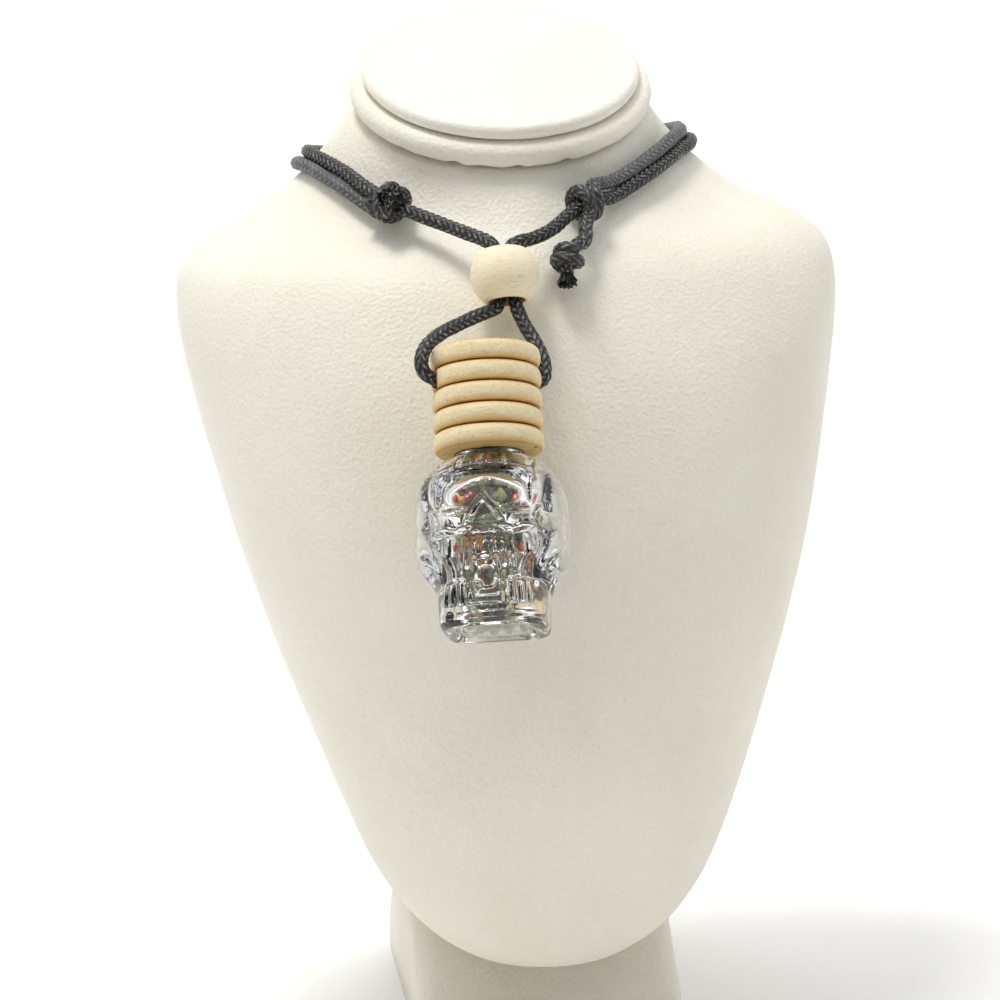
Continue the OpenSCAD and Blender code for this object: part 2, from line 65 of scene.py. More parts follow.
def node(tree, kind, settings=None, stops=None, **inputs):
    """Add a shader node with its settings, its ramp's stops, and its sockets' values or links."""
    made = tree.nodes.new(kind)
    for name, value in (settings or {}).items():
        setattr(made, name, value)
    if stops:
        marks = made.color_ramp.elements
        while len(marks) < len(stops):
            marks.new(0.5)
        for stop, (place, colour) in zip(marks, stops):
            stop.position = place
            stop.color = (*colour, 1)
    for name, value in inputs.items():
        socket = made.inputs[int(name[1:]) if name[1:].isdigit() else name.replace("_", " ")]
        if isinstance(value, bpy.types.NodeSocket):
            tree.links.new(value, socket)
        else:
            socket.default_value = value
    return made


def new_material(name, **sockets):
    """Start a material, and give its tree and its shader with these values on its own sockets."""
    material = bpy.data.materials.new(name)
    material.use_nodes = True
    tree = material.node_tree
    shader = tree.nodes["Principled BSDF"]
    for socket, value in sockets.items():
        shader.inputs[socket.replace("_", " ")].default_value = value
    return material, tree, shader


def rgb(value):
    """Add the alpha that a colour socket wants."""
    return (*value, 1)


WHITE = linear("#FFFFFF")


def maths(tree, operation, *values):
    """Add a math node, and give its result."""
    return node(tree, "ShaderNodeMath", {"operation": operation},
                **{f"_{i}": value for i, value in enumerate(values)}).outputs[0]


def multiplied(tree, share, one, two):
    """Multiply colour one by colour two, by this share."""
    return node(tree, "ShaderNodeMix", {"data_type": "RGBA", "blend_type": "MULTIPLY"}, _0=share, _6=one,
                _7=two).outputs[2]


def ramp(tree, value, *stops):
    """Turn a value into a colour by its stops."""
    return node(tree, "ShaderNodeValToRGB", stops=stops, Fac=value).outputs["Color"]


def attribute(tree, name):
    """Add a node that reads one of the mesh's attributes."""
    return node(tree, "ShaderNodeAttribute", {"attribute_name": name})


def emboss(tree, shader, height, strength, deep):
    """Bump the surface by a height pattern, at this strength and this many metres deep."""
    bump = node(tree, "ShaderNodeBump", Strength=strength, Distance=deep, Height=height)
    tree.links.new(bump.outputs["Normal"], shader.inputs["Normal"])


def wear(piece, material):
    """Give a piece its material in its one slot, and hang it under the root body."""
    piece.data.materials.clear()
    piece.data.materials.append(material)
    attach(piece, "root")


def leatherette(props):
    """Off-white leatherette: a thin vinyl skin pressed with a pebbled grain, so it has a soft, low gloss."""
    material, tree, shader = new_material("leatherette", Roughness=0.55, IOR=1.45)
    coords = node(tree, "ShaderNodeTexCoord").outputs["Object"]
    # Pebbles of the pressed grain, about 0.8 mm across
    pebbles = node(tree, "ShaderNodeTexVoronoi", {"feature": "SMOOTH_F1"}, Vector=coords,
                   Scale=1000 / props.grain, Smoothness=0.6, Randomness=1.0)
    creases = node(tree, "ShaderNodeTexNoise", Vector=coords, Scale=1000 / (2.6 * props.grain), Detail=4.0,
                   Roughness=0.6, Distortion=0.5)
    grain = node(tree, "ShaderNodeMix", {"data_type": "FLOAT"}, Factor=0.45,
                 _2=pebbles.outputs["Distance"], _3=creases.outputs["Fac"])
    # Slow yellowing and handling marks, a few centimetres across
    tone = node(tree, "ShaderNodeTexNoise", Vector=coords, Scale=28.0, Detail=3.0)
    colour = ramp(tree, tone.outputs["Fac"], (0.3, props.shade), (0.7, props.colour))
    # The grain's low places are a little darker
    darker_in_dips = ramp(tree, grain.outputs[0], (0.0, linear("#CFCBBC")), (0.55, WHITE))
    tree.links.new(multiplied(tree, 0.16, colour, darker_in_dips), shader.inputs["Base Color"])
    emboss(tree, shader, grain.outputs[0], props.relief, 0.4 * MM)
    return material


def waxed_cotton(props):
    """Black waxed cotton: a round braid of dyed yarn under wax. Highlights are painted lighter on its high
    turns, and a lighter grey sheen is painted in blotches on the strands beyond the knots.
    """
    material, tree, shader = new_material("waxed_cotton", Roughness=0.42, IOR=1.35)
    coords = node(tree, "ShaderNodeTexCoord").outputs["Object"]
    high = attribute(tree, "braid").outputs["Fac"]
    painted_sheen = attribute(tree, "painted_sheen").outputs["Fac"]
    # Fibres of the yarn about 0.7 mm apart, and lumps of wax of a few millimetres
    yarn = node(tree, "ShaderNodeTexNoise", Vector=coords, Scale=1500.0, Detail=4.0,
                Roughness=0.7).outputs["Fac"]
    lump = node(tree, "ShaderNodeTexNoise", Vector=coords, Scale=420.0, Detail=2.0).outputs["Fac"]
    # Painted highlight: the braid's high turns are painted lighter, up to the wax colour, on top of the
    # yarn's random tone
    worn = maths(tree, "MULTIPLY_ADD", yarn, 0.75, maths(tree, "MULTIPLY", high, 0.42))
    dyed = ramp(tree, worn, (0.44, props.colour), (0.60, linear("#1A1B1B")), (0.74, linear("#4E4F4C")),
                (0.88, props.glint))
    # Painted sheen: the strands are painted a lighter grey in blotches, as much as their attribute read above
    # says, where they catch the light
    grey = node(tree, "ShaderNodeMix", {"data_type": "RGBA"}, _0=maths(tree, "MULTIPLY", painted_sheen, lump),
                _6=dyed, _7=rgb(linear("#808286")))
    rough = node(tree, "ShaderNodeMapRange", Value=lump, _3=0.22, _4=0.6)
    tree.links.new(grey.outputs[2], shader.inputs["Base Color"])
    tree.links.new(rough.outputs[0], shader.inputs["Roughness"])
    emboss(tree, shader, yarn, 0.7, 0.12 * MM)
    return material


def moulded_glass(props):
    """Clear soda-lime glass, pressed in a mould, so its skin is slightly wavy."""
    material, tree, shader = new_material("moulded_glass", Roughness=0.015, IOR=1.5, Transmission_Weight=1.0,
                                          Base_Color=rgb(props.tint))
    coords = node(tree, "ShaderNodeTexCoord").outputs["Object"]
    # Waves about 4 mm long
    waves = node(tree, "ShaderNodeTexNoise", Vector=coords, Scale=260.0, Detail=2.0)
    emboss(tree, shader, waves.outputs["Fac"], props.waves, 0.4 * MM)
    return material


def tumbled_stone():
    """Tumbled stone chips, each of its own colour with fine veins, with a low polish."""
    material, tree, shader = new_material("tumbled_stone", Roughness=0.14, IOR=1.54)
    coords = node(tree, "ShaderNodeTexCoord").outputs["Object"]
    own = attribute(tree, "stone").outputs["Color"]
    # Veins about 0.9 mm apart, which darken the stone's own colour or lighten it past white
    veins = node(tree, "ShaderNodeTexNoise", Vector=coords, Scale=1100.0, Detail=5.0, Roughness=0.7,
                 Distortion=1.2).outputs["Fac"]
    shade = ramp(tree, veins, (0.33, linear("#4E463A")), (0.47, WHITE), (0.66, (1.25, 1.2, 1.05)))
    tree.links.new(multiplied(tree, 0.9, own, shade), shader.inputs["Base Color"])
    emboss(tree, shader, veins, 0.4, 0.2 * MM)
    return material


def turned_birch(name, light, dark, middle, turn, lines_per_metre):
    """Turned birch: close grey-brown lines along the grain on a pale ground, sanded to a dull finish. An
    attribute darkens the wood towards a deep brown: in its grooves, and as painted shade on the lower side of
    each ring, round the cap's bore and in its cross hole, and in the bead's bore. The pattern is centred and
    turned with the piece."""
    material, tree, shader = new_material(name, Roughness=0.6, IOR=1.5)
    coords = node(tree, "ShaderNodeTexCoord").outputs["Object"]
    own = node(tree, "ShaderNodeMapping", {"vector_type": "TEXTURE"}, Vector=coords, Location=middle,
               Rotation=turn)
    groove = attribute(tree, "groove").outputs["Fac"]
    stretched = node(tree, "ShaderNodeMapping", Vector=own.outputs[0], Scale=lines_per_metre).outputs[0]
    lines = node(tree, "ShaderNodeTexNoise", Vector=stretched, Scale=1.0, Detail=5.0, Roughness=0.62,
                 Distortion=0.4).outputs["Fac"]
    pores = node(tree, "ShaderNodeTexNoise", Vector=stretched, Scale=6.0, Detail=2.0).outputs["Fac"]
    between = tuple(0.5 * (a + b) for a, b in zip(light, dark))
    ground = ramp(tree, lines, (0.32, dark), (0.5, between), (0.66, light))
    speck = multiplied(tree, 0.3, ground, ramp(tree, pores, (0.34, linear("#B08A5A")), (0.46, WHITE)))
    # Darker in the grooves, and painted shade where the attribute marks the lower sides, the bores and the
    # cross hole
    groove_and_shade_tint = ramp(tree, groove, (0.0, WHITE), (0.35, linear("#F2DDB0")), (0.7, linear("#C08A44")),
                 (1.0, linear("#6E4213")))
    tree.links.new(multiplied(tree, 1.0, speck, groove_and_shade_tint), shader.inputs["Base Color"])
    emboss(tree, shader, lines, 0.25, 0.1 * MM)
    return material


# Meshes


def deselect():
    """Leave nothing selected, in object mode."""
    if bpy.context.object and bpy.context.object.mode != "OBJECT":
        bpy.ops.object.mode_set(mode="OBJECT")
    bpy.ops.object.select_all(action="DESELECT")


def pick(piece):
    """Leave only this piece selected and active, in object mode."""
    deselect()
    piece.select_set(True)
    bpy.context.view_layer.objects.active = piece


def started(name):
    """Name the primitive that was just added."""
    piece = bpy.context.object
    piece.name = name
    piece.data.name = name
    return piece


def added(name, data):
    """Put a new object with this data into the scene."""
    made = bpy.data.objects.new(name, data)
    bpy.context.scene.collection.objects.link(made)
    return made


def edit(piece, *steps):
    """Run edit-mode steps, with the whole piece selected at first."""
    pick(piece)
    bpy.ops.object.mode_set(mode="EDIT")
    bpy.ops.mesh.select_all(action="SELECT")
    for step in steps:
        step()
    bpy.ops.object.mode_set(mode="OBJECT")


def merge():
    bpy.ops.mesh.remove_doubles(threshold=0.002 * MM)


def face_out():
    bpy.ops.mesh.normals_make_consistent(inside=False)


def close_ends(piece):
    """Fill the open rings at both ends of a turned piece."""
    edit(piece, lambda: bpy.ops.mesh.select_all(action="DESELECT"), bpy.ops.mesh.select_non_manifold,
         bpy.ops.mesh.edge_face_add, lambda: bpy.ops.mesh.select_all(action="SELECT"), merge, face_out)


def smooth(piece, angle=None):
    """Shade a piece smooth, all over or only across edges less sharp than an angle in degrees."""
    pick(piece)
    if angle is None:
        bpy.ops.object.shade_smooth()
    else:
        bpy.ops.object.shade_smooth_by_angle(angle=math.radians(angle))


def apply_modifier(piece, kind, **settings):
    pick(piece)
    bpy.ops.object.modifier_add(type=kind)
    made = piece.modifiers[-1]
    for name, value in settings.items():
        setattr(made, name, value)
    bpy.ops.object.modifier_apply(modifier=made.name)


def place(piece, matrix):
    """Move a piece to its place and put the place into its mesh."""
    piece.matrix_world = matrix
    pick(piece)
    bpy.ops.object.transform_apply(location=True, rotation=True, scale=True)


def points_of(piece):
    """Give the mesh's points in millimetres, one row each."""
    found = np.empty(3 * len(piece.data.vertices), np.float32)
    piece.data.vertices.foreach_get("co", found)
    return found.reshape(-1, 3).astype(float) / MM


def set_points(piece, points):
    """Move the mesh's points to places in millimetres."""
    piece.data.vertices.foreach_set("co", (points * MM).astype(np.float32).ravel())
    piece.data.update()


def normals_of(piece):
    """Give the way out at each of the mesh's points."""
    found = np.empty(3 * len(piece.data.vertices), np.float32)
    piece.data.vertex_normals.foreach_get("vector", found)
    return found.reshape(-1, 3).astype(float)


def set_attribute(piece, name, values, kind="FLOAT"):
    """Keep one value for each point of the mesh."""
    made = piece.data.attributes.new(name, kind, "POINT")
    made.data.foreach_set("value" if kind == "FLOAT" else "color", np.asarray(values, np.float32).ravel())


def from_node(node_name, name, levels):
    """Copy a CAD node's mesh as one closed skin of quads, and round it off."""
    piece = added(name, bpy.data.objects[node_name].data.copy())
    piece.data.materials.clear()
    edit(piece, merge, lambda: bpy.ops.mesh.tris_convert_to_quads(face_threshold=0.7, shape_threshold=0.7))
    if levels:
        apply_modifier(piece, "SUBSURF", levels=levels, render_levels=levels)
    smooth(piece)
    return piece


def turned(name, profile, sides):
    """Turn a profile of (radius, height) in millimetres into a ring-shaped piece: a circle is added, and each
    further ring is extruded from the last."""
    deselect()
    radius, height = profile[0]
    bpy.ops.mesh.primitive_circle_add(vertices=sides, radius=radius * MM, location=(0, 0, height * MM))
    piece = started(name)
    bpy.ops.object.transform_apply(location=True, rotation=True, scale=True)
    bpy.ops.object.mode_set(mode="EDIT")
    bpy.ops.mesh.select_all(action="SELECT")
    for (r0, z0), (r1, z1) in zip(profile, profile[1:]):
        bpy.ops.mesh.extrude_region_move(TRANSFORM_OT_translate={"value": (0, 0, (z1 - z0) * MM)})
        if r1 != r0:
            bpy.ops.transform.resize(value=(r1 / r0, r1 / r0, 1), center_override=(0, 0, z1 * MM))
    bpy.ops.object.mode_set(mode="OBJECT")
    return piece


# Cords


def smooth_route(points, step):
    """Give a smooth curve through the route's points, with a point every step millimetres."""
    p = np.array(points, float)
    p = np.vstack([2 * p[0] - p[1], p, 2 * p[-1] - p[-2]])
    fine = []
    for a, b, c, d in zip(p, p[1:], p[2:], p[3:]):
        for t in np.linspace(0, 1, 24, endpoint=False):
            fine.append(0.5 * (2 * b + (c - a) * t + (2 * a - 5 * b + 4 * c - d) * t ** 2
                               + (3 * b - a - 3 * c + d) * t ** 3))
    fine = np.array(fine + [p[-2]])
    run = np.concatenate([[0], np.cumsum(np.linalg.norm(np.diff(fine, axis=0), axis=1))])
    count = max(2, round(run[-1] / step) + 1)
    at = np.linspace(0, run[-1], count)
    return np.stack([np.interp(at, run, fine[:, k]) for k in range(3)], 1), at


# The braid: points round the cord, millimetres between rings, yarns that wind each way, and millimetres
# along the cord from one crossing to the next
BRAID_SIDES = 64
BRAID_STEP = 0.25
CARRIERS = 8
PITCH = 1.7


def braid_height(turn, along):
    """Height of a round braid, from 0 in the dips to 1 on the high turns. Two sets of yarns wind in opposite
    directions, and each yarn goes over two and then under two of the ones that it crosses."""
    one = CARRIERS * turn + along / PITCH
    two = CARRIERS * turn - along / PITCH

    def yarn(across, length, shift):
        row = np.floor(across)
        ridge = np.sin(np.pi * (across - row)) ** 0.8
        over = 0.5 + 0.5 * np.cos(0.5 * np.pi * (length + row + shift))
        return ridge * (0.1 + 0.9 * over ** 0.8)

    return np.maximum(yarn(one, two, 0), yarn(two, one, 2))


def braided(name, points, diameter, painted_sheen):
    """Sweep a braided cord along a route in millimetres, its yarns raised on the surface. A lighter grey
    sheen is painted on its wax by the values given last, one for each of some places along it, evenly spaced."""
    sides = BRAID_SIDES
    line, along = smooth_route(points, BRAID_STEP)
    ahead = np.gradient(line, axis=0)
    ahead /= np.linalg.norm(ahead, axis=1)[:, None]
    side = np.cross(ahead[0], [0.3, 0.2, 1.0])
    frames = []
    for direction in ahead:
        side = side - (side @ direction) * direction
        side /= np.linalg.norm(side)
        frames.append((side, np.cross(direction, side)))
    turn = np.arange(sides) / sides
    angle = 2 * np.pi * turn
    height = braid_height(turn[None, :], along[:, None])
    # A hand-made braid is a little thicker in some places than in others
    uneven = 0.02 * np.sin(along * 0.9 + 2 * np.sin(along * 0.23))[:, None]
    radius = diameter / 2 * (0.87 + 0.2 * height + uneven)
    first = np.array([f[0] for f in frames])
    second = np.array([f[1] for f in frames])
    rings = line[:, None, :] + radius[:, :, None] * (
        np.cos(angle)[None, :, None] * first[:, None, :] + np.sin(angle)[None, :, None] * second[:, None, :])
    count = len(line)
    vertices = np.vstack([rings.reshape(-1, 3), line[0], line[-1]])
    r, k = np.meshgrid(np.arange(count - 1), np.arange(sides), indexing="ij")
    nxt = (k + 1) % sides
    faces = np.stack([r * sides + k, r * sides + nxt, (r + 1) * sides + nxt, (r + 1) * sides + k], -1)
    faces = faces.reshape(-1, 4).tolist()
    last = (count - 1) * sides
    faces += [[(i + 1) % sides, i, count * sides] for i in range(sides)]
    faces += [[last + i, last + (i + 1) % sides, count * sides + 1] for i in range(sides)]
    mesh = bpy.data.meshes.new(name)
    mesh.from_pydata((vertices * MM).tolist(), [], faces)
    piece = added(name, mesh)
    set_attribute(piece, "braid", np.append(height.ravel(), [0, 0]))
    grey = np.interp(along, np.linspace(0, along[-1], len(painted_sheen)), painted_sheen)
    set_attribute(piece, "painted_sheen", np.append(np.repeat(grey, sides), [0, 0]))
    smooth(piece)
    return piece, line, along[-1]


# Points of the cords in millimetres. The strands start at the middle of the cap's cross hole, pass through
# the bead, go round behind the neck and end in the knot on the other side.
LEFT_ROUTE = [
    [-13.5, -63.7, 151.3], [-19, -64.8, 152.1], [-23.8, -65.7, 152.8], [-26, -66.1, 154.3],
    [-26.4, -65.1, 156.3], [-25.6, -63.2, 158.1], [-23.8, -60.6, 159.5], [-20.9, -57.5, 160.6],
    [-17.5, -54.5, 161.4], [-14.2, -52, 162.2], [-11.3, -50.2, 162.8], [-9.2, -48.9, 163.4],
    [-8.4, -47.7, 165.1], [-8.4, -46.3, 167.6], [-8.4, -44.5, 171.5], [-8.5, -43, 174.6],
    [-10, -40.6, 175.9], [-13.6, -36, 177], [-18, -31, 178.4], [-22.7, -25.9, 179.9],
    [-27.2, -20.8, 181.6], [-31.6, -13.6, 184.2], [-35, -6, 186.4], [-38.3, 1, 187.9],
    [-40.7, 8.6, 188.6], [-41.1, 14.3, 188.5], [-40.6, 20.9, 187.7], [-38.4, 26.3, 186.8],
    [-34.6, 30.8, 186], [-30, 34.3, 185.4], [-23.7, 37.2, 184.9], [-15.6, 39.3, 184.5],
    [-7.6, 40.3, 184.2], [0, 40.6, 184.1], [7.6, 40.4, 184.2], [16.2, 39.3, 184.6], [24.9, 36.7, 185.4],
    [30.4, 33.7, 186.2], [34.7, 30.1, 187.1], [37.9, 25.3, 188.1], [39.6, 19.9, 189.1],
    [39.9, 14.9, 189.8], [38.9, 6.6, 190.1], [35.6, -1.2, 189.6], [31.4, -7.9, 188],
    [26.8, -13.2, 186.1], [22.2, -17.6, 184.4], [18.6, -21.3, 183.8], [14.6, -25.9, 184.1],
]
RIGHT_ROUTE = [
    [-13.5, -63.7, 151.3], [-8, -62.6, 150.5], [-4, -62, 150.1], [-1.9, -61.2, 150.5],
    [-1.2, -60, 151.9], [-1.2, -58.5, 153.8], [-1.8, -56.8, 155.8], [-2.7, -54.8, 157.8],
    [-3.8, -52.8, 159.8], [-4.6, -50.9, 161.7], [-5.1, -49, 163.6], [-5.2, -47.2, 165.8],
    [-5.2, -44.5, 171.5], [-5.1, -43.1, 174.4], [-3.2, -41.9, 175.4], [0.2, -40, 175.8],
    [4.4, -36.7, 176.9], [8.4, -32.7, 179], [12.1, -28.7, 180.6], [15.9, -25.4, 180.8],
    [19.5, -22.2, 180.8], [23.4, -18.5, 182], [27.4, -14.8, 183.5], [32.4, -8.9, 185.3],
    [37, -1.8, 186.9], [40.6, 5.4, 187.4], [42.4, 14.5, 187.3], [41.9, 20.5, 186.5], [39.9, 26.1, 185.3],
    [36.3, 31, 184.2], [31.4, 34.6, 183.3], [25.4, 37.3, 182.5], [16.3, 39.4, 181.6], [7.5, 40.2, 181.1],
    [0, 40.4, 180.9], [-7.5, 40.2, 181], [-15.6, 39.4, 181.3], [-24.1, 37.7, 181.8], [-31, 35.1, 182.4],
    [-36.3, 31.8, 183.2], [-40.3, 27.1, 184.2], [-42.7, 21.4, 185.2], [-43.6, 14.6, 186],
    [-42.9, 8.5, 186.5], [-41, 3.2, 186], [-38.6, -2.3, 184.8], [-35.8, -7.6, 183.4],
    [-33, -12.6, 181.6], [-30.3, -17.2, 179.9],
]
# The left strand winds round the right one at the right knot, and its loose end hangs down to a stopper knot
RIGHT_KNOT_ROUTE = [
    [14.6, -25.9, 184.1], [14.4, -29.3, 182.8], [14.9, -29.9, 180.7], [14.3, -29.3, 178.6],
    [12.6, -28, 177.8], [10.9, -26.9, 178.8], [10, -26.8, 180.8], [10.3, -28, 182.7],
    [11.4, -29.8, 183.3], [12.7, -31.3, 182.2], [13, -31.8, 180], [12.3, -32.6, 178],
    [11.4, -35.2, 176.4], [11.3, -36.7, 175], [10.7, -37.4, 174],
]
TAIL_ROUTE = [
    [11, -37.2, 174.1], [9.6, -38.4, 173.9], [8, -39.9, 173], [6.9, -40.9, 171.4], [6.5, -41.6, 169.6],
    [6.3, -42, 168.5],
]
# How much lighter grey sheen is painted on each strand where it catches the light: none in front, and most
# beyond the knots
LEFT_PAINTED_SHEEN = [0.0] * 19 + [0.15, 0.6] + [0.8] * 19 + [0.6, 0.3]
RIGHT_PAINTED_SHEEN = [0.0] * 19 + [0.4, 0.7] + [0.8] * 19 + [0.7, 0.5, 0.2]


def wrap_route(middle, way, radius, rise, turns, start):
    """Points of a cord that winds round a strand running along way: the radius of its turns and the rise of
    one turn in millimetres, the number of turns, and the angle in degrees at which it starts."""
    way = np.array(way, float) / np.linalg.norm(way)
    side = np.cross(way, [0, 0, 1])
    side /= np.linalg.norm(side)
    up = np.cross(way, side)
    steps = math.ceil(turns * 12)
    found = []
    for s in range(steps + 1):
        turn = s / steps * turns
        angle = math.radians(start) + 2 * math.pi * turn
        found.append(np.array(middle) + way * rise * (turn - turns / 2)
                     + radius * (math.cos(angle) * side + math.sin(angle) * up))
    return np.array(found)


def tuft(name, middle, way, width, long, count, seed):
    """Frayed end of a cord: count loose yarns that spread from its cut tip to this width, each a thin bent
    curve, with sizes in millimetres."""
    random = np.random.default_rng(seed)
    way = np.array(way, float) / np.linalg.norm(way)
    side = np.cross(way, [0.2, 0.1, 1.0])
    side /= np.linalg.norm(side)
    up = np.cross(way, side)
    curve = bpy.data.curves.new(name, "CURVE")
    curve.dimensions = "3D"
    curve.bevel_depth = 0.2 * MM
    curve.bevel_resolution = 1
    curve.use_fill_caps = True
    curve.resolution_u = 3
    for _ in range(count):
        angle = random.uniform(0, 2 * math.pi)
        out = math.sqrt(random.uniform(0, 1))
        root = 0.42 * width / 2 * out
        tip = width / 2 * out * random.uniform(0.85, 1.1)
        reach = long * random.uniform(0.7, 1.05) * (1.05 - 0.35 * out)
        bend = random.normal(0, 0.22, 3)
        spline = curve.splines.new("BEZIER")
        spline.bezier_points.add(2)
        for i, (share, spread) in enumerate(((0, root), (0.55, 0.55 * root + 0.45 * tip), (1, tip))):
            point = (np.array(middle) + way * reach * share
                     + spread * (math.cos(angle) * side + math.sin(angle) * up) + bend * share ** 2)
            corner = spline.bezier_points[i]
            corner.co = Vector(point * MM)
            corner.handle_left_type = "AUTO"
            corner.handle_right_type = "AUTO"
            corner.radius = (1.2, 1.15, 1.0)[i] * random.uniform(0.8, 1.15)
    pick(added(name, curve))
    bpy.ops.object.convert(target="MESH")
    piece = bpy.context.object
    # Each yarn has a tone of its own, and most are dark
    total = len(piece.data.vertices)
    tone = random.uniform(0, 1, count) ** 2
    set_attribute(piece, "braid", np.repeat(tone, total // count)[:total])
    set_attribute(piece, "painted_sheen", np.zeros(total))
    smooth(piece)
    return piece


def join(name, pieces):
    """Join pieces into the first one."""
    deselect()
    for piece in pieces:
        piece.select_set(True)
    bpy.context.view_layer.objects.active = pieces[0]
    bpy.ops.object.join()
    pieces[0].name = name
    return pieces[0]


# Places and sizes in millimetres and degrees

# The middle of the bottle's base, how far the base swings forwards, and how far the bottle leans to its side
# and turns on its axis
BASE = (-15.5, -85.12, 105.0)
SWING = 25.0
LEAN = 2.5
TURN = 14.0
SKULL_H = 35.5
SKULL_W = 31.0
SKULL_D = 34.0
CAP_Z = SKULL_H + 0.8
CAP_RINGS = 5
RING_H = 4.25
CAP_H = CAP_RINGS * RING_H
# The bottle's neck with its bore, and its lip inside the cap
NECK_R = 6.5
BORE_R = 4
LIP_Z = CAP_Z + 8.6
LIP_H = 0.8
# The cap's cross hole, halfway up its second ring from the top, and its turn from the skull's width
HOLE_Z = CAP_Z + CAP_H - 1.5 * RING_H
HOLE_R = 1.9
HOLE_TURN = math.radians(25)
HUNG = (Matrix.Translation(Vector(BASE) * MM)
        @ Matrix.Rotation(math.radians(LEAN), 4, "Y")
        @ Matrix.Rotation(math.radians(-SWING), 4, "X")
        @ Matrix.Rotation(math.radians(-TURN), 4, "Z"))
BEAD_PLACE = (-6.8, -45.5, 169.2)
BEAD_R = 7
# The cut top of the bust's neck, which tilts forwards
NECK = (Matrix.Translation(Vector((0, 8, 198.5)) * MM) @ Matrix.Rotation(math.radians(21.0), 4, "X"))


# Sizes and colours that a user would change


def paint(name, about, colour):
    """A colour setting, with its default as an sRGB hex colour."""
    return bpy.props.FloatVectorProperty(name=name, description=about, default=linear(colour), min=0, max=1,
                                         subtype="COLOR")


def fraction(name, about, value):
    """A setting from 0 to 1."""
    return bpy.props.FloatProperty(name=name, description=about, default=value, min=0, max=1,
                                   subtype="FACTOR")


def amount(name, about, value, least, most):
    """A plain number as a setting."""
    return bpy.props.FloatProperty(name=name, description=about, default=value, min=least, max=most)


def measure(name, about, value, least, most):
    """A length as a setting, given in millimetres and kept in metres."""
    return bpy.props.FloatProperty(name=name, description=about, default=value * MM, min=least * MM,
                                   max=most * MM, precision=4, unit="LENGTH")


class CoverSettings(bpy.types.PropertyGroup):
    colour: paint("Cover", "Colour of the bust's cover", "#F4F1E4")
    shade: paint("Cover shade", "Colour of its yellowed places", "#EDE8D8")
    grain: amount("Grain", "Width of one pebble of the grain, in millimetres", 0.8, 0.3, 3)
    relief: fraction("Grain relief", "Strength of the pressed grain", 0.6)
    pinch: amount("Pinches", "Depth of the collar's pinches, in millimetres", 0.5, 0, 2)


class CordSettings(bpy.types.PropertyGroup):
    diameter: measure("Diameter", "Diameter of the waxed cord", 2.8, 2, 3.2)
    squeezed: measure("In a knot", "Diameter of the cord inside a knot", 2.9, 2, 3.2)
    colour: paint("Dye", "Colour of the dyed cotton", "#0B0B0D")
    # The wax colour is a painted highlight, which the high turns of the braid get
    glint: paint("Wax", "Colour of the wax on the high turns", "#A9A9A2")


class GlassSettings(bpy.types.PropertyGroup):
    tint: paint("Glass", "Colour of the glass", "#FDFEFE")
    waves: fraction("Waves", "Strength of the mould's waves in the glass", 0.12)


class ChipSettings(bpy.types.PropertyGroup):
    count: bpy.props.IntProperty(name="Chips", description="Number of stone chips", default=520, min=1,
                                 max=700)
    smallest: amount("Smallest chip", "Width of the smallest chip, in millimetres", 1.7, 1, 5)
    largest: amount("Largest chip", "Width of the largest chip, in millimetres", 3.9, 1, 6)
    seed: bpy.props.IntProperty(name="Chip mix", description="Another number gives other chips", default=4)


class WoodSettings(bpy.types.PropertyGroup):
    light: paint("Wood", "Colour of the pale birch", "#EFE2C0")
    dark: paint("Grain lines", "Colour of the birch's grain lines", "#E6D19D")
    bead: paint("Bead", "Colour of the bead's paler birch", "#F8ECCC")


class StageSettings(bpy.types.PropertyGroup):
    floor: paint("Backdrop", "Colour of the floor and the backdrop", "#F7F7F5")
    key: amount("Main light", "Power of the main light in watts", 5.0, 0, 60)
    sky: amount("Front light", "Strength of the soft light from the front", 0.17, 0, 2)
    shine: amount("Glass light", "Strength of the front light in glass and gloss", 0.8, 0, 2)
    zenith: amount("Tent light", "Strength of the soft light from above and the sides", 1.72, 0, 4)
    lens: bpy.props.FloatProperty(name="Lens", description="Focal length of the camera", default=131.07,
                                  min=20, max=300, unit="CAMERA")


# Pieces


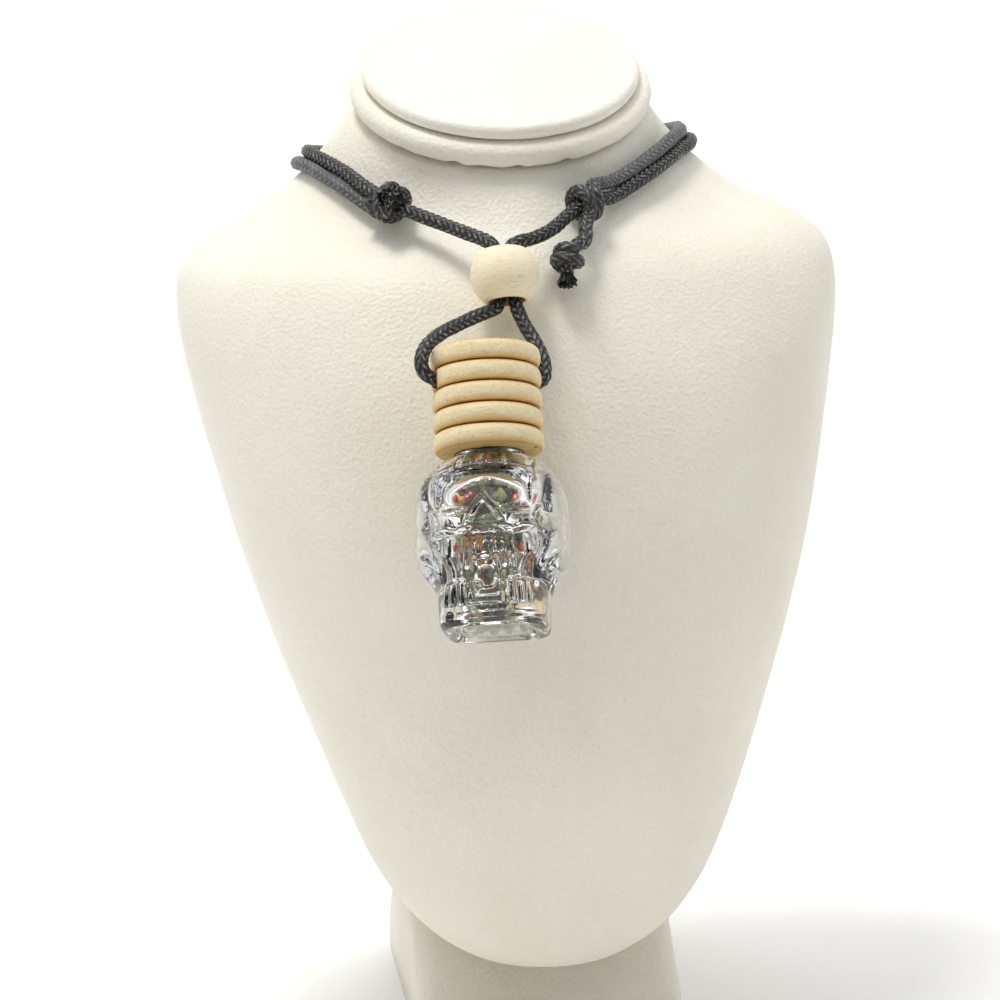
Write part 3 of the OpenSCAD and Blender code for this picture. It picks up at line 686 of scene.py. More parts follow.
class CordsOperator(bpy.types.Operator):
    """Braid both strands of the waxed cord along their routes"""
    bl_idname = "pendant.cords"
    bl_label = "Cords"

    def execute(self, context):
        props = context.scene.pendant_cord
        material = waxed_cotton(props)
        knot_left, knot_right, knot_tail = self.knots(props, material)
        for name, cad, route, painted_sheen, knots in (
                ("waxed_cord_left", "cord_left", LEFT_ROUTE, LEFT_PAINTED_SHEEN, [knot_right, knot_tail]),
                ("waxed_cord_right", "cord_right", RIGHT_ROUTE, RIGHT_PAINTED_SHEEN, [knot_left])):
            piece, line, length = braided(name, route, props.diameter / MM, painted_sheen)
            wear(piece, material)
            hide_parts(cad)
        return {"FINISHED"}

    def knots(self, props, material):
        """Tie the knots: turns of cord round the passing strand, a stopper and the frayed ends."""
        thick = props.squeezed / MM
        round_strand = wrap_route([-27.2, -20.8, 181.6], [-8.8, 12.2, 4.2], 2.85, 2.75, 2.1, 150)
        # The last list given to each knot's braid is its painted sheen
        left = braided("knot_left", round_strand, thick, [0.12])[0]
        brush = tuft("fray_left", [-27.4, -23.4, 182.4], [-0.7, -6, 2.6], 5.6, 2.9, 150, 7)
        right = braided("knot_right", RIGHT_KNOT_ROUTE, thick, [0.12])[0]
        tail = braided("knot_tail", TAIL_ROUTE, thick, [0.15])[0]
        stopper = wrap_route([6.9, -41.0, 171.4], [-1.6, -1.6, -3.6], 2.1, 2.0, 1.6, 200)
        turns = braided("tail_turns", stopper, thick, [0.15])[0]
        brush_tail = tuft("fray_tail", [6.35, -41.9, 168.9], [-0.1, -1.0, -2.6], 4.6, 4.0, 100, 11)
        left = join("knot_left", [left, brush])
        tail = join("knot_tail", [tail, turns, brush_tail])
        for piece, cad in ((left, "left_knot"), (right, "right_knot"), (tail, "tail_knot")):
            wear(piece, material)
            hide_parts(cad)
        return left, right, tail


def soft_noise(points, size, seed=0.0):
    """Smooth noise at each point, its bumps about size millimetres across."""
    return np.array([noise.noise(Vector(p / size) + Vector((seed, 0, 0))) for p in points])


class BustOperator(bpy.types.Operator):
    """Upholster the bust: its body, rolled collar, top cushion and foot"""
    bl_idname = "pendant.bust"
    bl_label = "Bust"

    def execute(self, context):
        props = context.scene.pendant_cover
        material = leatherette(props)
        body = from_node("bust_body", "padded_bust", 2)
        # The padding under the cover is slightly uneven
        points = points_of(body)
        push = 0.22 * soft_noise(points, 19) + 0.10 * soft_noise(points, 6, 5)
        set_points(body, points + normals_of(body) * (push - 0.12)[:, None])
        wear(body, material)
        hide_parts("bust_body")

        foot = from_node("bust_foot", "covered_foot", 0)
        edit(foot, lambda: bpy.ops.mesh.dissolve_limited(angle_limit=math.radians(2)),
             bpy.ops.mesh.quads_convert_to_tris)
        smooth(foot, 30)
        wear(foot, material)
        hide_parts("bust_foot")

        roll = self.pad("rolled_collar", 32.4, 5.4, 0.1, material)
        self.pinch(roll, props.pinch)
        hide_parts("bust_roll")
        top = self.pad("top_cushion", 29.8, 3.4, 5.6, material)
        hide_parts("bust_top")
        return {"FINISHED"}

    def pad(self, name, radius, thick, rise, material):
        """Round pad with a half-round rim, dished a little on its top, at this rise above the neck's cut."""
        half = thick / 2
        middle, edge = 0.4, radius - half - 0.3
        bend = [(radius - half + half * math.sin(t), rise + half - half * math.cos(t))
                for t in np.linspace(0.05, math.pi - 0.05, 22)]
        flat = [(r, rise) for r in np.linspace(middle, edge, 10)]
        dish = [(r, rise + thick - 0.05 * (1 - r / radius)) for r in np.linspace(edge, middle, 30)]
        piece = turned(name, flat + bend + dish, 240)
        close_ends(piece)
        smooth(piece)
        place(piece, NECK)
        points = points_of(piece)
        push = 0.10 * soft_noise(points, 7, 3) - 0.05
        set_points(piece, points + normals_of(piece) * push[:, None])
        wear(piece, material)
        return piece

    def pinch(self, piece, depth):
        """Press the gathers of the cover into the collar's lower edge, where it is tucked under. Each has its
        angle and half width in degrees and its share of the depth, and a bulge beside it."""
        points = points_of(piece)
        push = np.zeros(len(points))
        own = (np.array(NECK.inverted()) @ np.c_[points * MM, np.ones(len(points))].T).T[:, :3] / MM
        angle = np.degrees(np.arctan2(own[:, 1], own[:, 0]))
        low = np.clip((3.6 - own[:, 2]) / 3.0, 0, 1)
        for at, wide, share in ((-115, 2.6, 0.9), (-104, 3.4, 0.4), (-90.5, 2.2, 0.8), (-71, 2.6, 1.0),
                                (-52, 4.0, 0.4), (-138, 4.0, 0.4), (60, 3, 0.6), (120, 3, 0.6)):
            near = np.exp(-((angle - at) / wide) ** 2)
            push -= depth * share * near * low
            push += 0.35 * depth * share * np.exp(-((angle - at - 1.6 * wide) / wide) ** 2) * low
        set_points(piece, points + normals_of(piece) * push[:, None])


def sampled(table, level):
    """Read a table of sections at these levels."""
    table = np.array(table)
    return [np.interp(level, table[:, 0], table[:, k]) for k in range(1, table.shape[1])]


# Sections of the skull from its base to its shoulder: height as a share of its height, half width as a share
# of its width, face and rear depth as shares of its depth
SKULL = [
    [0.000, 0.300, 0.362, 0.232], [0.010, 0.322, 0.388, 0.254], [0.030, 0.332, 0.400, 0.264],
    [0.100, 0.336, 0.404, 0.272], [0.155, 0.338, 0.406, 0.280], [0.210, 0.350, 0.408, 0.300],
    [0.255, 0.378, 0.404, 0.345], [0.300, 0.412, 0.398, 0.400], [0.350, 0.450, 0.398, 0.446],
    [0.400, 0.476, 0.406, 0.474], [0.450, 0.490, 0.416, 0.490], [0.500, 0.497, 0.424, 0.499],
    [0.550, 0.500, 0.432, 0.503], [0.600, 0.500, 0.438, 0.505], [0.650, 0.498, 0.444, 0.503],
    [0.700, 0.492, 0.450, 0.498], [0.750, 0.481, 0.455, 0.486], [0.800, 0.464, 0.452, 0.466],
    [0.850, 0.438, 0.436, 0.436], [0.895, 0.402, 0.402, 0.396], [0.935, 0.356, 0.352, 0.346],
    [0.965, 0.308, 0.302, 0.298], [0.984, 0.262, 0.256, 0.252], [0.996, 0.222, 0.214, 0.208],
]
# Broad swells and hollows of the face: place across as a share of the width, height as a share of the height,
# half width and half height as shares of the width, depth as a share of the width
DENTS = [
    [0.000, 0.660, 0.060, 0.060, 0.020],
    [0.300, 0.540, 0.130, 0.060, 0.035], [0.450, 0.430, 0.055, 0.050, 0.022],
    [0.330, 0.300, 0.090, 0.120, -0.045],
    [0.000, 0.360, 0.150, 0.140, 0.034],
]
# Flat windows pressed into the face, through which the stones show: place across and up, half width, half
# height, squareness and depth, in millimetres. The first is one mask over both sockets, which the nose
# notches from below: the notch's tip is at this height, its sides go this far across for each millimetre
# down, and a point is this much nearer to a side than it is straight across.
NOTCH_TIP = 26.3
NOTCH_SPREAD = 0.85
NOTCH_NEAR = 0.76
WINDOWS = [
    [0.0, 26.6, 8.7, 4.0, 2.8, 2.4], [7.5, 15.9, 1.9, 2.2, 2.8, 1.1], [0.0, 9.4, 1.7, 2.4, 2.4, 0.3],
]
# Crisp ridges: points across and up in millimetres, then half width and height
RIDGES = [
    ([(2.9, 23.7), (4.2, 22.5), (5.8, 22.0), (8.2, 22.0), (10.4, 22.6)], 0.42, 0.75),
    ([(10.4, 22.6), (8.9, 19.7), (9.6, 17.6)], 0.42, 0.5),
    ([(0.0, 19.3), (2.4, 19.1), (5.0, 18.3), (8.0, 17.6), (9.6, 16.4)], 0.42, 0.8),
    ([(9.6, 16.4), (9.1, 14.8), (7.6, 12.8), (6.6, 11.0), (6.0, 8.6)], 0.42, 0.9),
    ([(9.1, 33.0), (9.2, 28.0), (9.0, 23.4)], 0.5, 0.45), ([(2.2, 12.6), (2.1, 9.6), (2.6, 6.4)], 0.34, 0.45),
    ([(13.2, 14.6), (11.6, 12.8), (10.3, 10.4), (9.9, 7.4)], 0.5, 0.5),
    ([(4.4, 16.6), (4.6, 13.5), (4.9, 10.2)], 0.5, 0.7), ([(1.5, 17.8), (1.3, 15.5), (1.6, 12.6)], 0.5, 0.55),
    ([(3.0, 17.4), (2.9, 14.5), (3.4, 11.5)], 0.45, 0.5), ([(0.8, 34.0), (1.0, 31.0)], 0.35, 0.35),
    ([(4.2, 34.0), (4.8, 31.0)], 0.4, 0.4), ([(0.0, 32.4), (4.5, 32.2), (8.4, 31.0)], 0.55, 0.55),
]


def power(value, p):
    """Raise the size of a value to a power, and keep its sign."""
    return np.sign(value) * np.abs(value) ** p


def step_up(value):
    """Rise smoothly from 0 to 1 while the value goes from 0 to 1."""
    value = np.clip(value, 0, 1)
    return value * value * (3 - 2 * value)


def off_line(x, h, line):
    """Distance of each point from a line through several points."""
    found = np.full_like(x, np.inf)
    for (x0, h0), (x1, h1) in zip(line, line[1:]):
        run = np.clip(((x - x0) * (x1 - x0) + (h - h0) * (h1 - h0)) / ((x1 - x0) ** 2 + (h1 - h0) ** 2), 0, 1)
        found = np.minimum(found, np.hypot(x - x0 - run * (x1 - x0), h - h0 - run * (h1 - h0)))
    return found


def skull_relief(x, h):
    """Fine relief of the skull's face in millimetres outwards, at x millimetres across and h up."""
    push = np.zeros_like(x)
    side = np.abs(x)
    for line, wide, high in RIDGES:
        push += high * np.exp(-(off_line(side, h, line) / wide) ** 2)
    # Nose: a hollow upside-down V between sharp rims
    inside = np.minimum(3.1 * np.clip((23.8 - h) / 3.7, 0, 1) ** 0.8 - side, 1.1 * (h - 20.0))
    push -= 1.7 * step_up(inside / 0.5 + 0.5)
    push += 0.6 * np.exp(-((inside + 0.45) / 0.32) ** 2) * step_up((24.6 - h) / 0.6)
    # Teeth 1.7 mm wide, one of them in the middle, with their roots above them
    teeth = np.abs(np.sin(np.pi * (x + 0.85) / 1.7)) ** 0.6
    row = step_up((h - 3.7) / 0.5) * step_up((8.5 - h) / 0.6) * step_up((8.8 - side) / 0.8)
    push += row * (1.15 * teeth - 0.35)
    roots = step_up((h - 8.2) / 0.5) * step_up((10.8 - h) / 1.6) * step_up((7.0 - side) / 1.0)
    push += 0.6 * roots * teeth ** 2 * step_up((side - 2.4) / 0.6)
    return push


# Squareness of the skull's sections: nearly round above, and up to this much squarer at the jaw
ROUND = 2.15
JAW_SQUARE = 2.6


def skull_wall(level, angle):
    """Outer skin of the glass skull, in millimetres, for shares of its height and angles from its right."""
    wide, face, rear = sampled(SKULL, level)
    ahead = np.sin(angle) < 0
    soft = ROUND + JAW_SQUARE * step_up((0.27 - level) / 0.13)
    x = SKULL_W * wide * power(np.cos(angle), 2 / soft)
    y = SKULL_D * np.where(ahead, face, rear) * power(np.sin(angle), 2 / soft)
    push = np.zeros_like(x)
    for across, up, half_w, half_h, deep in DENTS:
        u = (np.abs(x) / SKULL_W - across) / half_w
        v = (level - up) * SKULL_H / SKULL_W / half_h
        push += SKULL_W * deep * np.exp(-(u * u + v * v) ** 1.4)
    h = level * SKULL_H
    push += skull_relief(x, h)
    far = np.maximum(1, np.hypot(x, y))
    for across, up, half_w, half_h, square, deep in WINDOWS:
        room, front, _ = sampled(SKULL, up / SKULL_H)
        plane = SKULL_D * front * (1 - (across / SKULL_W / room) ** ROUND) ** (1 / ROUND) - deep
        # How far a point lies inside the window's edge
        rim = 1 - (np.abs((np.abs(x) - across) / half_w) ** square
                   + np.abs((h - up) / half_h) ** square) ** (1 / square)
        rim = rim * min(half_w, half_h)
        if across == 0 and up > NOTCH_TIP:
            rim = np.minimum(rim, NOTCH_NEAR * (np.abs(x) - NOTCH_SPREAD * (NOTCH_TIP - h)))
        open_here = step_up(rim / 0.55 + 0.5)
        push = push * (1 - open_here) + open_here * far * (plane / np.maximum(0.5, np.abs(y)) - 1)
        # A raised lip round the window
        push += 0.45 * np.exp(-((rim + 0.6) / 0.32) ** 2)
    # The relief is on the face alone, and dies away towards the temples
    push = np.where(ahead & (level < 0.96), push * np.minimum(1, 1.6 * np.abs(np.sin(angle))), 0)
    return x * (1 + push / far), y * (1 + push / far), h


# The hollow, with its heights measured from the skull's middle: half width, half depth and half height of the
# rounded box that its upper part follows and how square its sides are, half width and half depth at its
# floor, where it starts to narrow upwards and to slope in downwards, its floor, and the radius and the
# squareness of the floor's corner
HOLLOW_W, HOLLOW_D, HOLLOW_H = 9.4, 10.7, 14
UPRIGHT = 4.5
FLOOR_W, FLOOR_D = 7.0, 7.6
MIDDLE = 0.5 * SKULL_H
SHOULDER = 12.6
SLOPE = -3.0
FLOOR = 1.7 - MIDDLE
CORNER = 0.9
FLOOR_SQUARE = 3.5
# Rows of the hollow's skin: this share of them is wall, and up to this share is corner
WALL_SHARE = 0.86
CORNER_SHARE = 0.92


def hollow_room(z):
    """Half width, half depth and squareness of the hollow at heights z above its middle, in millimetres."""
    z = np.asarray(z, float)
    tall = np.clip(np.abs(np.clip(z, SLOPE, SHOULDER)) / HOLLOW_H, 0, 1)
    share = (1 - tall ** UPRIGHT) ** (1 / UPRIGHT)
    wide, deep = HOLLOW_W * share, HOLLOW_D * share
    # Below, it runs in a straight slope down to its floor, and above, it narrows quickly into the round bore
    run = np.clip((SLOPE - z) / (SLOPE - FLOOR - 2 * CORNER), 0, 1)
    wide, deep = wide * (1 - run) + FLOOR_W * run, deep * (1 - run) + FLOOR_D * run
    rise = np.clip((z - SHOULDER) / (LIP_Z - MIDDLE - SHOULDER), 0, 1)
    neck = BORE_R + (wide - BORE_R) * (1 - rise) ** 9
    return (np.where(rise > 0, neck, wide), np.where(rise > 0, neck + (deep - wide) * (1 - rise) ** 12, deep),
            2 + 1.6 * step_up((SHOULDER - z) / 4) - 0.3 * run)


def thick_face(x, z):
    """How far the glass behind the cheekbones, the muzzle and the teeth reaches back into the hollow, in
    millimetres. Its wall leans there, so it mirrors the light from above and hides the stones."""
    h = z + MIDDLE
    side = np.abs(x)
    # Each part thickens upwards from its lower end and stops short at its upper one. The mouth's middle stays
    # thin, so that the stones show through it.
    muzzle = np.clip((h - 10.6) / 7.0, 0, 1) * step_up((18.3 - h) / 0.8) * step_up((5.2 - side) / 1.2)
    teeth = np.clip((h - 3.0) / 5.6, 0, 1) * step_up((9.2 - h) / 0.8) * step_up((9.5 - side) / 1.2)
    mouth = np.maximum(step_up((side - 1.3) / 0.9), step_up((7.0 - h) / 0.8))
    cheek = np.clip((h - 18.4) / 4.2, 0, 1) * step_up((23.1 - h) / 0.6) * step_up((side - 2.6) / 1.2)
    return 5.0 * np.maximum(np.maximum(muzzle, 0.85 * teeth * mouth), 0.62 * cheek)


class BottleOperator(bpy.types.Operator):
    """Mould the glass skull bottle with its hollow, its neck and its lip"""
    bl_idname = "pendant.bottle"
    bl_label = "Bottle"

    def execute(self, context):
        across = 240
        # Rows of the skin, from the middle of the base out, up the skull and its neck, over the lip, down the
        # bore and the hollow, and in to the middle of its floor
        rows = [("base", t) for t in np.linspace(0.001, 0.97, 16)]
        rows += [("wall", t) for t in np.linspace(0, 0.996, 210)]
        rows += [("neck", t) for t in np.linspace(0.04, 1, 12)]
        rows += [("lip", t) for t in np.linspace(0.15, 0.85, 5)]
        rows += [("bore", t) for t in np.linspace(0, 1, 14)]
        rows += [("hollow", t) for t in np.linspace(0.01, 0.999, 110)]
        deselect()
        bpy.ops.mesh.primitive_grid_add(x_subdivisions=across, y_subdivisions=len(rows) - 1, size=2)
        piece = started("glass_skull")
        grid = points_of(piece) * MM
        column = np.rint((grid[:, 0] + 1) / 2 * across).astype(int)
        row = np.rint((grid[:, 1] + 1) / 2 * (len(rows) - 1)).astype(int)
        # The seam is at the back, and the columns stand closest together on the face
        sweep = 2 * np.pi * column / across
        angle = np.pi / 2 + sweep + 0.45 * np.sin(sweep)
        made = np.zeros((len(grid), 3))
        for i, (part, t) in enumerate(rows):
            made[row == i] = np.stack(np.broadcast_arrays(*self.skin(part, t, angle[row == i])), 1)
        set_points(piece, made)
        edit(piece, merge, face_out)
        smooth(piece)
        place(piece, HUNG)
        wear(piece, moulded_glass(context.scene.pendant_glass))
        # Light passes through clear glass, so the stones and the bust behind it stay lit
        piece.visible_shadow = False
        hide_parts("glass_bottle")
        return {"FINISHED"}

    def skin(self, part, t, a):
        """One row of the bottle's skin at the angles a, before the bottle is hung. The share t runs from the
        first to the last row of this part of the skin."""
        if part == "base":
            x, y, _ = skull_wall(np.zeros_like(a), a)
            # The underside has a shallow panel, and stands on its rim
            return x * t, y * t, 0.7 * step_up((0.86 - t) / 0.1)
        if part == "wall":
            return skull_wall(np.full_like(a, t), a)
        if part == "neck":
            low = 0.996 * SKULL_H
            return NECK_R * np.cos(a), NECK_R * np.sin(a), low + (LIP_Z - low) * t
        if part == "lip":
            bend = np.pi * t
            radius = (NECK_R + BORE_R) / 2 + (NECK_R - BORE_R) / 2 * np.cos(bend)
            return radius * np.cos(a), radius * np.sin(a), LIP_Z + LIP_H * np.sin(bend)
        if part == "bore":
            z = (LIP_Z - MIDDLE) * (1 - t) + SHOULDER * t
            wide, deep, square = hollow_room(z)
        elif t < WALL_SHARE:
            z = SHOULDER + (FLOOR + CORNER - SHOULDER) * t / WALL_SHARE
            wide, deep, square = hollow_room(z)
        elif t < CORNER_SHARE:
            bend = (t - WALL_SHARE) / (CORNER_SHARE - WALL_SHARE) * math.pi / 2
            inward = CORNER * (1 - math.cos(bend))
            wide, deep, square = FLOOR_W - inward, FLOOR_D - inward, FLOOR_SQUARE
            z = FLOOR + CORNER * (1 - math.sin(bend))
        else:
            run = (1 - t) / (1 - CORNER_SHARE)
            wide, deep, square, z = (FLOOR_W - CORNER) * run, (FLOOR_D - CORNER) * run, FLOOR_SQUARE, FLOOR
        x, y = wide * power(np.cos(a), 2 / square), deep * power(np.sin(a), 2 / square)
        if part == "hollow" and t < WALL_SHARE:
            y = y + np.where(y < 0, np.minimum(thick_face(x, z), -0.6 * y), 0)
        return x, y, z + MIDDLE


# Colours of the stones, mossy greens, browns, reds and creams, and how often each comes
CHIP_COLOURS = (
    ("#56622F", 24), ("#858A58", 16), ("#3B451E", 18), ("#6E6634", 12), ("#331F16", 12), ("#8E200A", 14),
    ("#B34A0F", 8), ("#D08A38", 6), ("#EBD3A0", 8), ("#B4BA92", 7),
)


class ChipsOperator(bpy.types.Operator):
    """Fill the hollow and the neck with tumbled stone chips, each of its own shape and colour"""
    bl_idname = "pendant.chips"
    bl_label = "Stone chips"

    def execute(self, context):
        props = context.scene.pendant_chips
        random = np.random.default_rng(props.seed)
        middles, radii = self.settled(random, props)
        deselect()
        bpy.ops.mesh.primitive_ico_sphere_add(subdivisions=2, radius=MM)
        ball = started("one_chip")
        points = points_of(ball)
        corners = np.array([face.vertices[:] for face in ball.data.polygons])
        bpy.data.objects.remove(ball)
        made = [self.chip(random, points) * radius + middle for middle, radius in zip(middles, radii)]
        faces = [corners + i * len(points) for i in range(props.count)]
        mesh = bpy.data.meshes.new("tumbled_chips")
        mesh.from_pydata((np.concatenate(made) * MM).tolist(), [], np.concatenate(faces).tolist())
        piece = added("tumbled_chips", mesh)
        shares = np.array([share for _, share in CHIP_COLOURS], float)
        picked = random.choice(len(CHIP_COLOURS), props.count, p=shares / shares.sum())
        # Painted shade: the lowest chips, where little light reaches, are darkened to 0.3 of their colour
        tone = random.uniform(0.8, 1.2, props.count) * np.where(middles[:, 2] < 4.6, 0.3, 1)
        colours = np.array([linear(text) for text, _ in CHIP_COLOURS])[picked] * tone[:, None]
        colours = np.repeat(np.c_[colours, np.ones(props.count)], len(points), axis=0)
        set_attribute(piece, "stone", colours, "FLOAT_COLOR")
        smooth(piece, 38)
        place(piece, HUNG)
        wear(piece, tumbled_stone())
        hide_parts("stone_chips")
        return {"FINISHED"}

    def settled(self, random, props):
        """Middles and radii of the chips: they start at random places, and push each other apart until they
        fill the hollow and the bore up to its top level."""
        rounds = 160
        top = 21
        # Worn chips lie a little closer together than balls would, and each round moves them part of the way
        close = 0.94
        ease = 0.3
        radii = random.uniform(props.smallest / 2, props.largest / 2, props.count)
        at = np.c_[random.uniform(-6, 6, (props.count, 2)), random.uniform(-14, 18, props.count)]
        for _ in range(rounds):
            apart = at[:, None] - at[None]
            # No chip pushes itself
            far = np.sqrt((apart ** 2).sum(2)) + 99 * np.eye(props.count)
            press = np.clip(close * (radii[:, None] + radii[None]) - far, 0, None)
            at += ease * (apart * (press / far)[:, :, None]).sum(1)
            at[:, 2] = np.clip(at[:, 2], FLOOR + radii, top)
            wide, deep, square = hollow_room(at[:, 2])
            reach = (np.abs(at[:, 0] / (wide - radii)) ** square
                     + np.abs(at[:, 1] / (deep - radii)) ** square) ** (1 / square)
            at[:, :2] /= np.maximum(1, reach)[:, None]
            face = -deep * np.clip(1 - np.abs(at[:, 0] / wide) ** square, 0, 1) ** (1 / square)
            face = face + np.minimum(thick_face(at[:, 0], at[:, 2]), -0.6 * face) + radii
            at[:, 1] = np.where(at[:, 1] < 0, np.maximum(at[:, 1], np.minimum(face, 0)), at[:, 1])
        at[:, 2] += MIDDLE
        return at, radii

    def chip(self, random, ball):
        """One tumbled chip, at most 1 millimetre from its middle: a ball worn flat on a few sides."""
        points = ball.copy()
        for _ in range(9):
            way = random.normal(size=3)
            way /= np.linalg.norm(way)
            over = points @ way - random.uniform(0.45, 0.8)
            points -= np.clip(over, 0, None)[:, None] * way
        points *= random.uniform(0.93, 1.07, (len(points), 1))
        points *= random.uniform(0.7, 1.1, 3)
        # Any turn in space, but no mirror image, which would turn the faces in
        turn = np.linalg.qr(random.normal(size=(3, 3)))[0]
        turn[:, 0] *= np.sign(np.linalg.det(turn))
        return points @ turn / np.linalg.norm(points, axis=1).max()


class CapOperator(bpy.types.Operator):
    """Turn the ringed wooden cap, bore it for the bottle's neck and drill its cross hole"""
    bl_idname = "pendant.cap"
    bl_label = "Cap"

    def execute(self, context):
        props = context.scene.pendant_wood
        # The bore fits over the bottle's neck, and each ring is half round with a groove above it
        inner = NECK_R + 0.2
        deep = LIP_Z + LIP_H + 0.2 - CAP_Z
        ring = [(9.98, 0.10), (10.3, 0.22), (10.62, 0.55), (10.84, 0.98), (10.96, 1.5), (11.0, 2.12),
                (10.96, 2.75), (10.84, 3.27), (10.62, 3.70), (10.3, 4.03), (9.98, 4.15)]
        groove_r = 9.93
        hub = 0.15
        profile = [(hub, deep), (3, deep), (inner - 0.2, deep), (inner, deep - 0.2), (inner, 5), (inner, 0.4),
                   (inner + 0.3, 0), (8.2, 0), (9.4, 0)]
        for i in range(CAP_RINGS):
            if i:
                profile.append((groove_r, i * RING_H))
            profile += [(r, i * RING_H + h) for r, h in ring]
        profile += [(9.6, CAP_H), (8, CAP_H), (5, CAP_H), (hub, CAP_H)]
        piece = turned("turned_cap", profile, 192)
        close_ends(piece)
        # Slight unevenness of the outside from sanding by hand
        points = points_of(piece)
        flat = np.hypot(points[:, 0], points[:, 1])
        outer = flat > 9
        push = 0.05 * soft_noise(points, 5, 2)
        points[outer, :2] *= (1 + push / np.maximum(flat, 1))[outer, None]
        set_points(piece, points)
        place(piece, Matrix.Translation((0, 0, CAP_Z * MM)))
        self.drill(piece)
        self.darken(piece)
        place(piece, HUNG)
        smooth(piece, 40)
        middle = HUNG @ Vector((0, 0, (CAP_Z + CAP_H / 2) * MM))
        # Growth lines long across the piece, and 1.1 to 1.4 mm apart over its depth and height
        birch = turned_birch("birch_cap", props.light, props.dark, middle, HUNG.to_euler(), (60, 900, 700))
        wear(piece, birch)
        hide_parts("wood_cap")
        return {"FINISHED"}

    def darken(self, piece):
        """Say where the wood is darkened: in the grooves, and as painted shade on the lower side of each
        ring, round the bore and in the cross hole."""
        points = points_of(piece)
        height = points[:, 2] - CAP_Z
        flat = np.hypot(points[:, 0], points[:, 1])
        on_rings = flat > 9.7
        sunk = np.clip((10.75 - flat) / 0.8, 0, 1) * on_rings
        within = height / RING_H - np.floor(np.clip(height / RING_H, 0, CAP_RINGS - 0.001))
        # Painted shade on the lower side of each ring
        low = np.clip(1 - within / 0.32, 0, 1) * on_rings
        groove = np.clip(np.maximum(sunk, 0.6 * low), 0, 1)
        # Painted shade on the cap's underside, round the bore
        groove[(height < 0.5) & (flat < 10)] = 0.35
        # Painted shade in and round the cross hole
        off_hole = np.hypot(points[:, 2] - HOLE_Z,
                            points[:, 0] * math.sin(HOLE_TURN) - points[:, 1] * math.cos(HOLE_TURN))
        groove = np.maximum(groove, np.clip((HOLE_R + 0.7 - off_hole) / 0.8, 0, 1) * 0.8)
        set_attribute(piece, "groove", groove)

    def drill(self, piece):
        """Cut the cross hole for the cord."""
        deselect()
        bpy.ops.mesh.primitive_cylinder_add(vertices=40, radius=HOLE_R * MM, depth=24 * MM)
        drill = started("drill")
        place(drill, Matrix.Translation((0, 0, HOLE_Z * MM)) @ Matrix.Rotation(HOLE_TURN, 4, "Z")
              @ Matrix.Rotation(math.radians(90), 4, "Y"))
        apply_modifier(piece, "BOOLEAN", object=drill, operation="DIFFERENCE", solver="EXACT")
        bpy.data.objects.remove(drill)


class BeadOperator(bpy.types.Operator):
    """Turn the wooden bead with its flat ends and its round bore"""
    bl_idname = "pendant.bead"
    bl_label = "Bead"

    def execute(self, context):
        props = context.scene.pendant_wood
        # Half the bead's length along its bore, and the radii of its bore and of its flat ends
        half = 5.4
        bore = 3.5
        end = math.sqrt(BEAD_R ** 2 - half ** 2)
        lift = math.asin(half / BEAD_R) - 0.04
        outside = [(BEAD_R * math.cos(t), BEAD_R * math.sin(t)) for t in np.linspace(-lift, lift, 48)]
        profile = [(bore + 0.25, -half), (end - 0.15, -half + 0.02), *outside, (end - 0.15, half - 0.02),
                   (bore + 0.25, half), (bore + 0.08, half - 0.08), (bore, half - 0.3), (bore, 2.5),
                   (bore, 0), (bore, -2.5), (bore, -half + 0.3), (bore + 0.08, -half + 0.08)]
        piece = turned("turned_bead", profile + [profile[0]], 160)
        edit(piece, merge, face_out)
        points = points_of(piece)
        flat = np.hypot(points[:, 0], points[:, 1])
        # Painted shade in the bore and round its mouths
        set_attribute(piece, "groove", 0.8 * np.clip((bore + 0.6 - flat) / 0.5, 0, 1))
        spin = Matrix.Rotation(math.radians(-SWING), 4, "X")
        place(piece, Matrix.Translation(Vector(BEAD_PLACE) * MM) @ spin)
        smooth(piece, 50)
        # Growth lines across the bore, 0.8 mm apart along it
        birch = turned_birch("birch_bead", props.bead, tuple(0.95 * c for c in props.bead),
                             Vector(BEAD_PLACE) * MM, spin.to_euler(), (90, 90, 1300))
        wear(piece, birch)
        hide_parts("wood_bead")
        return {"FINISHED"}


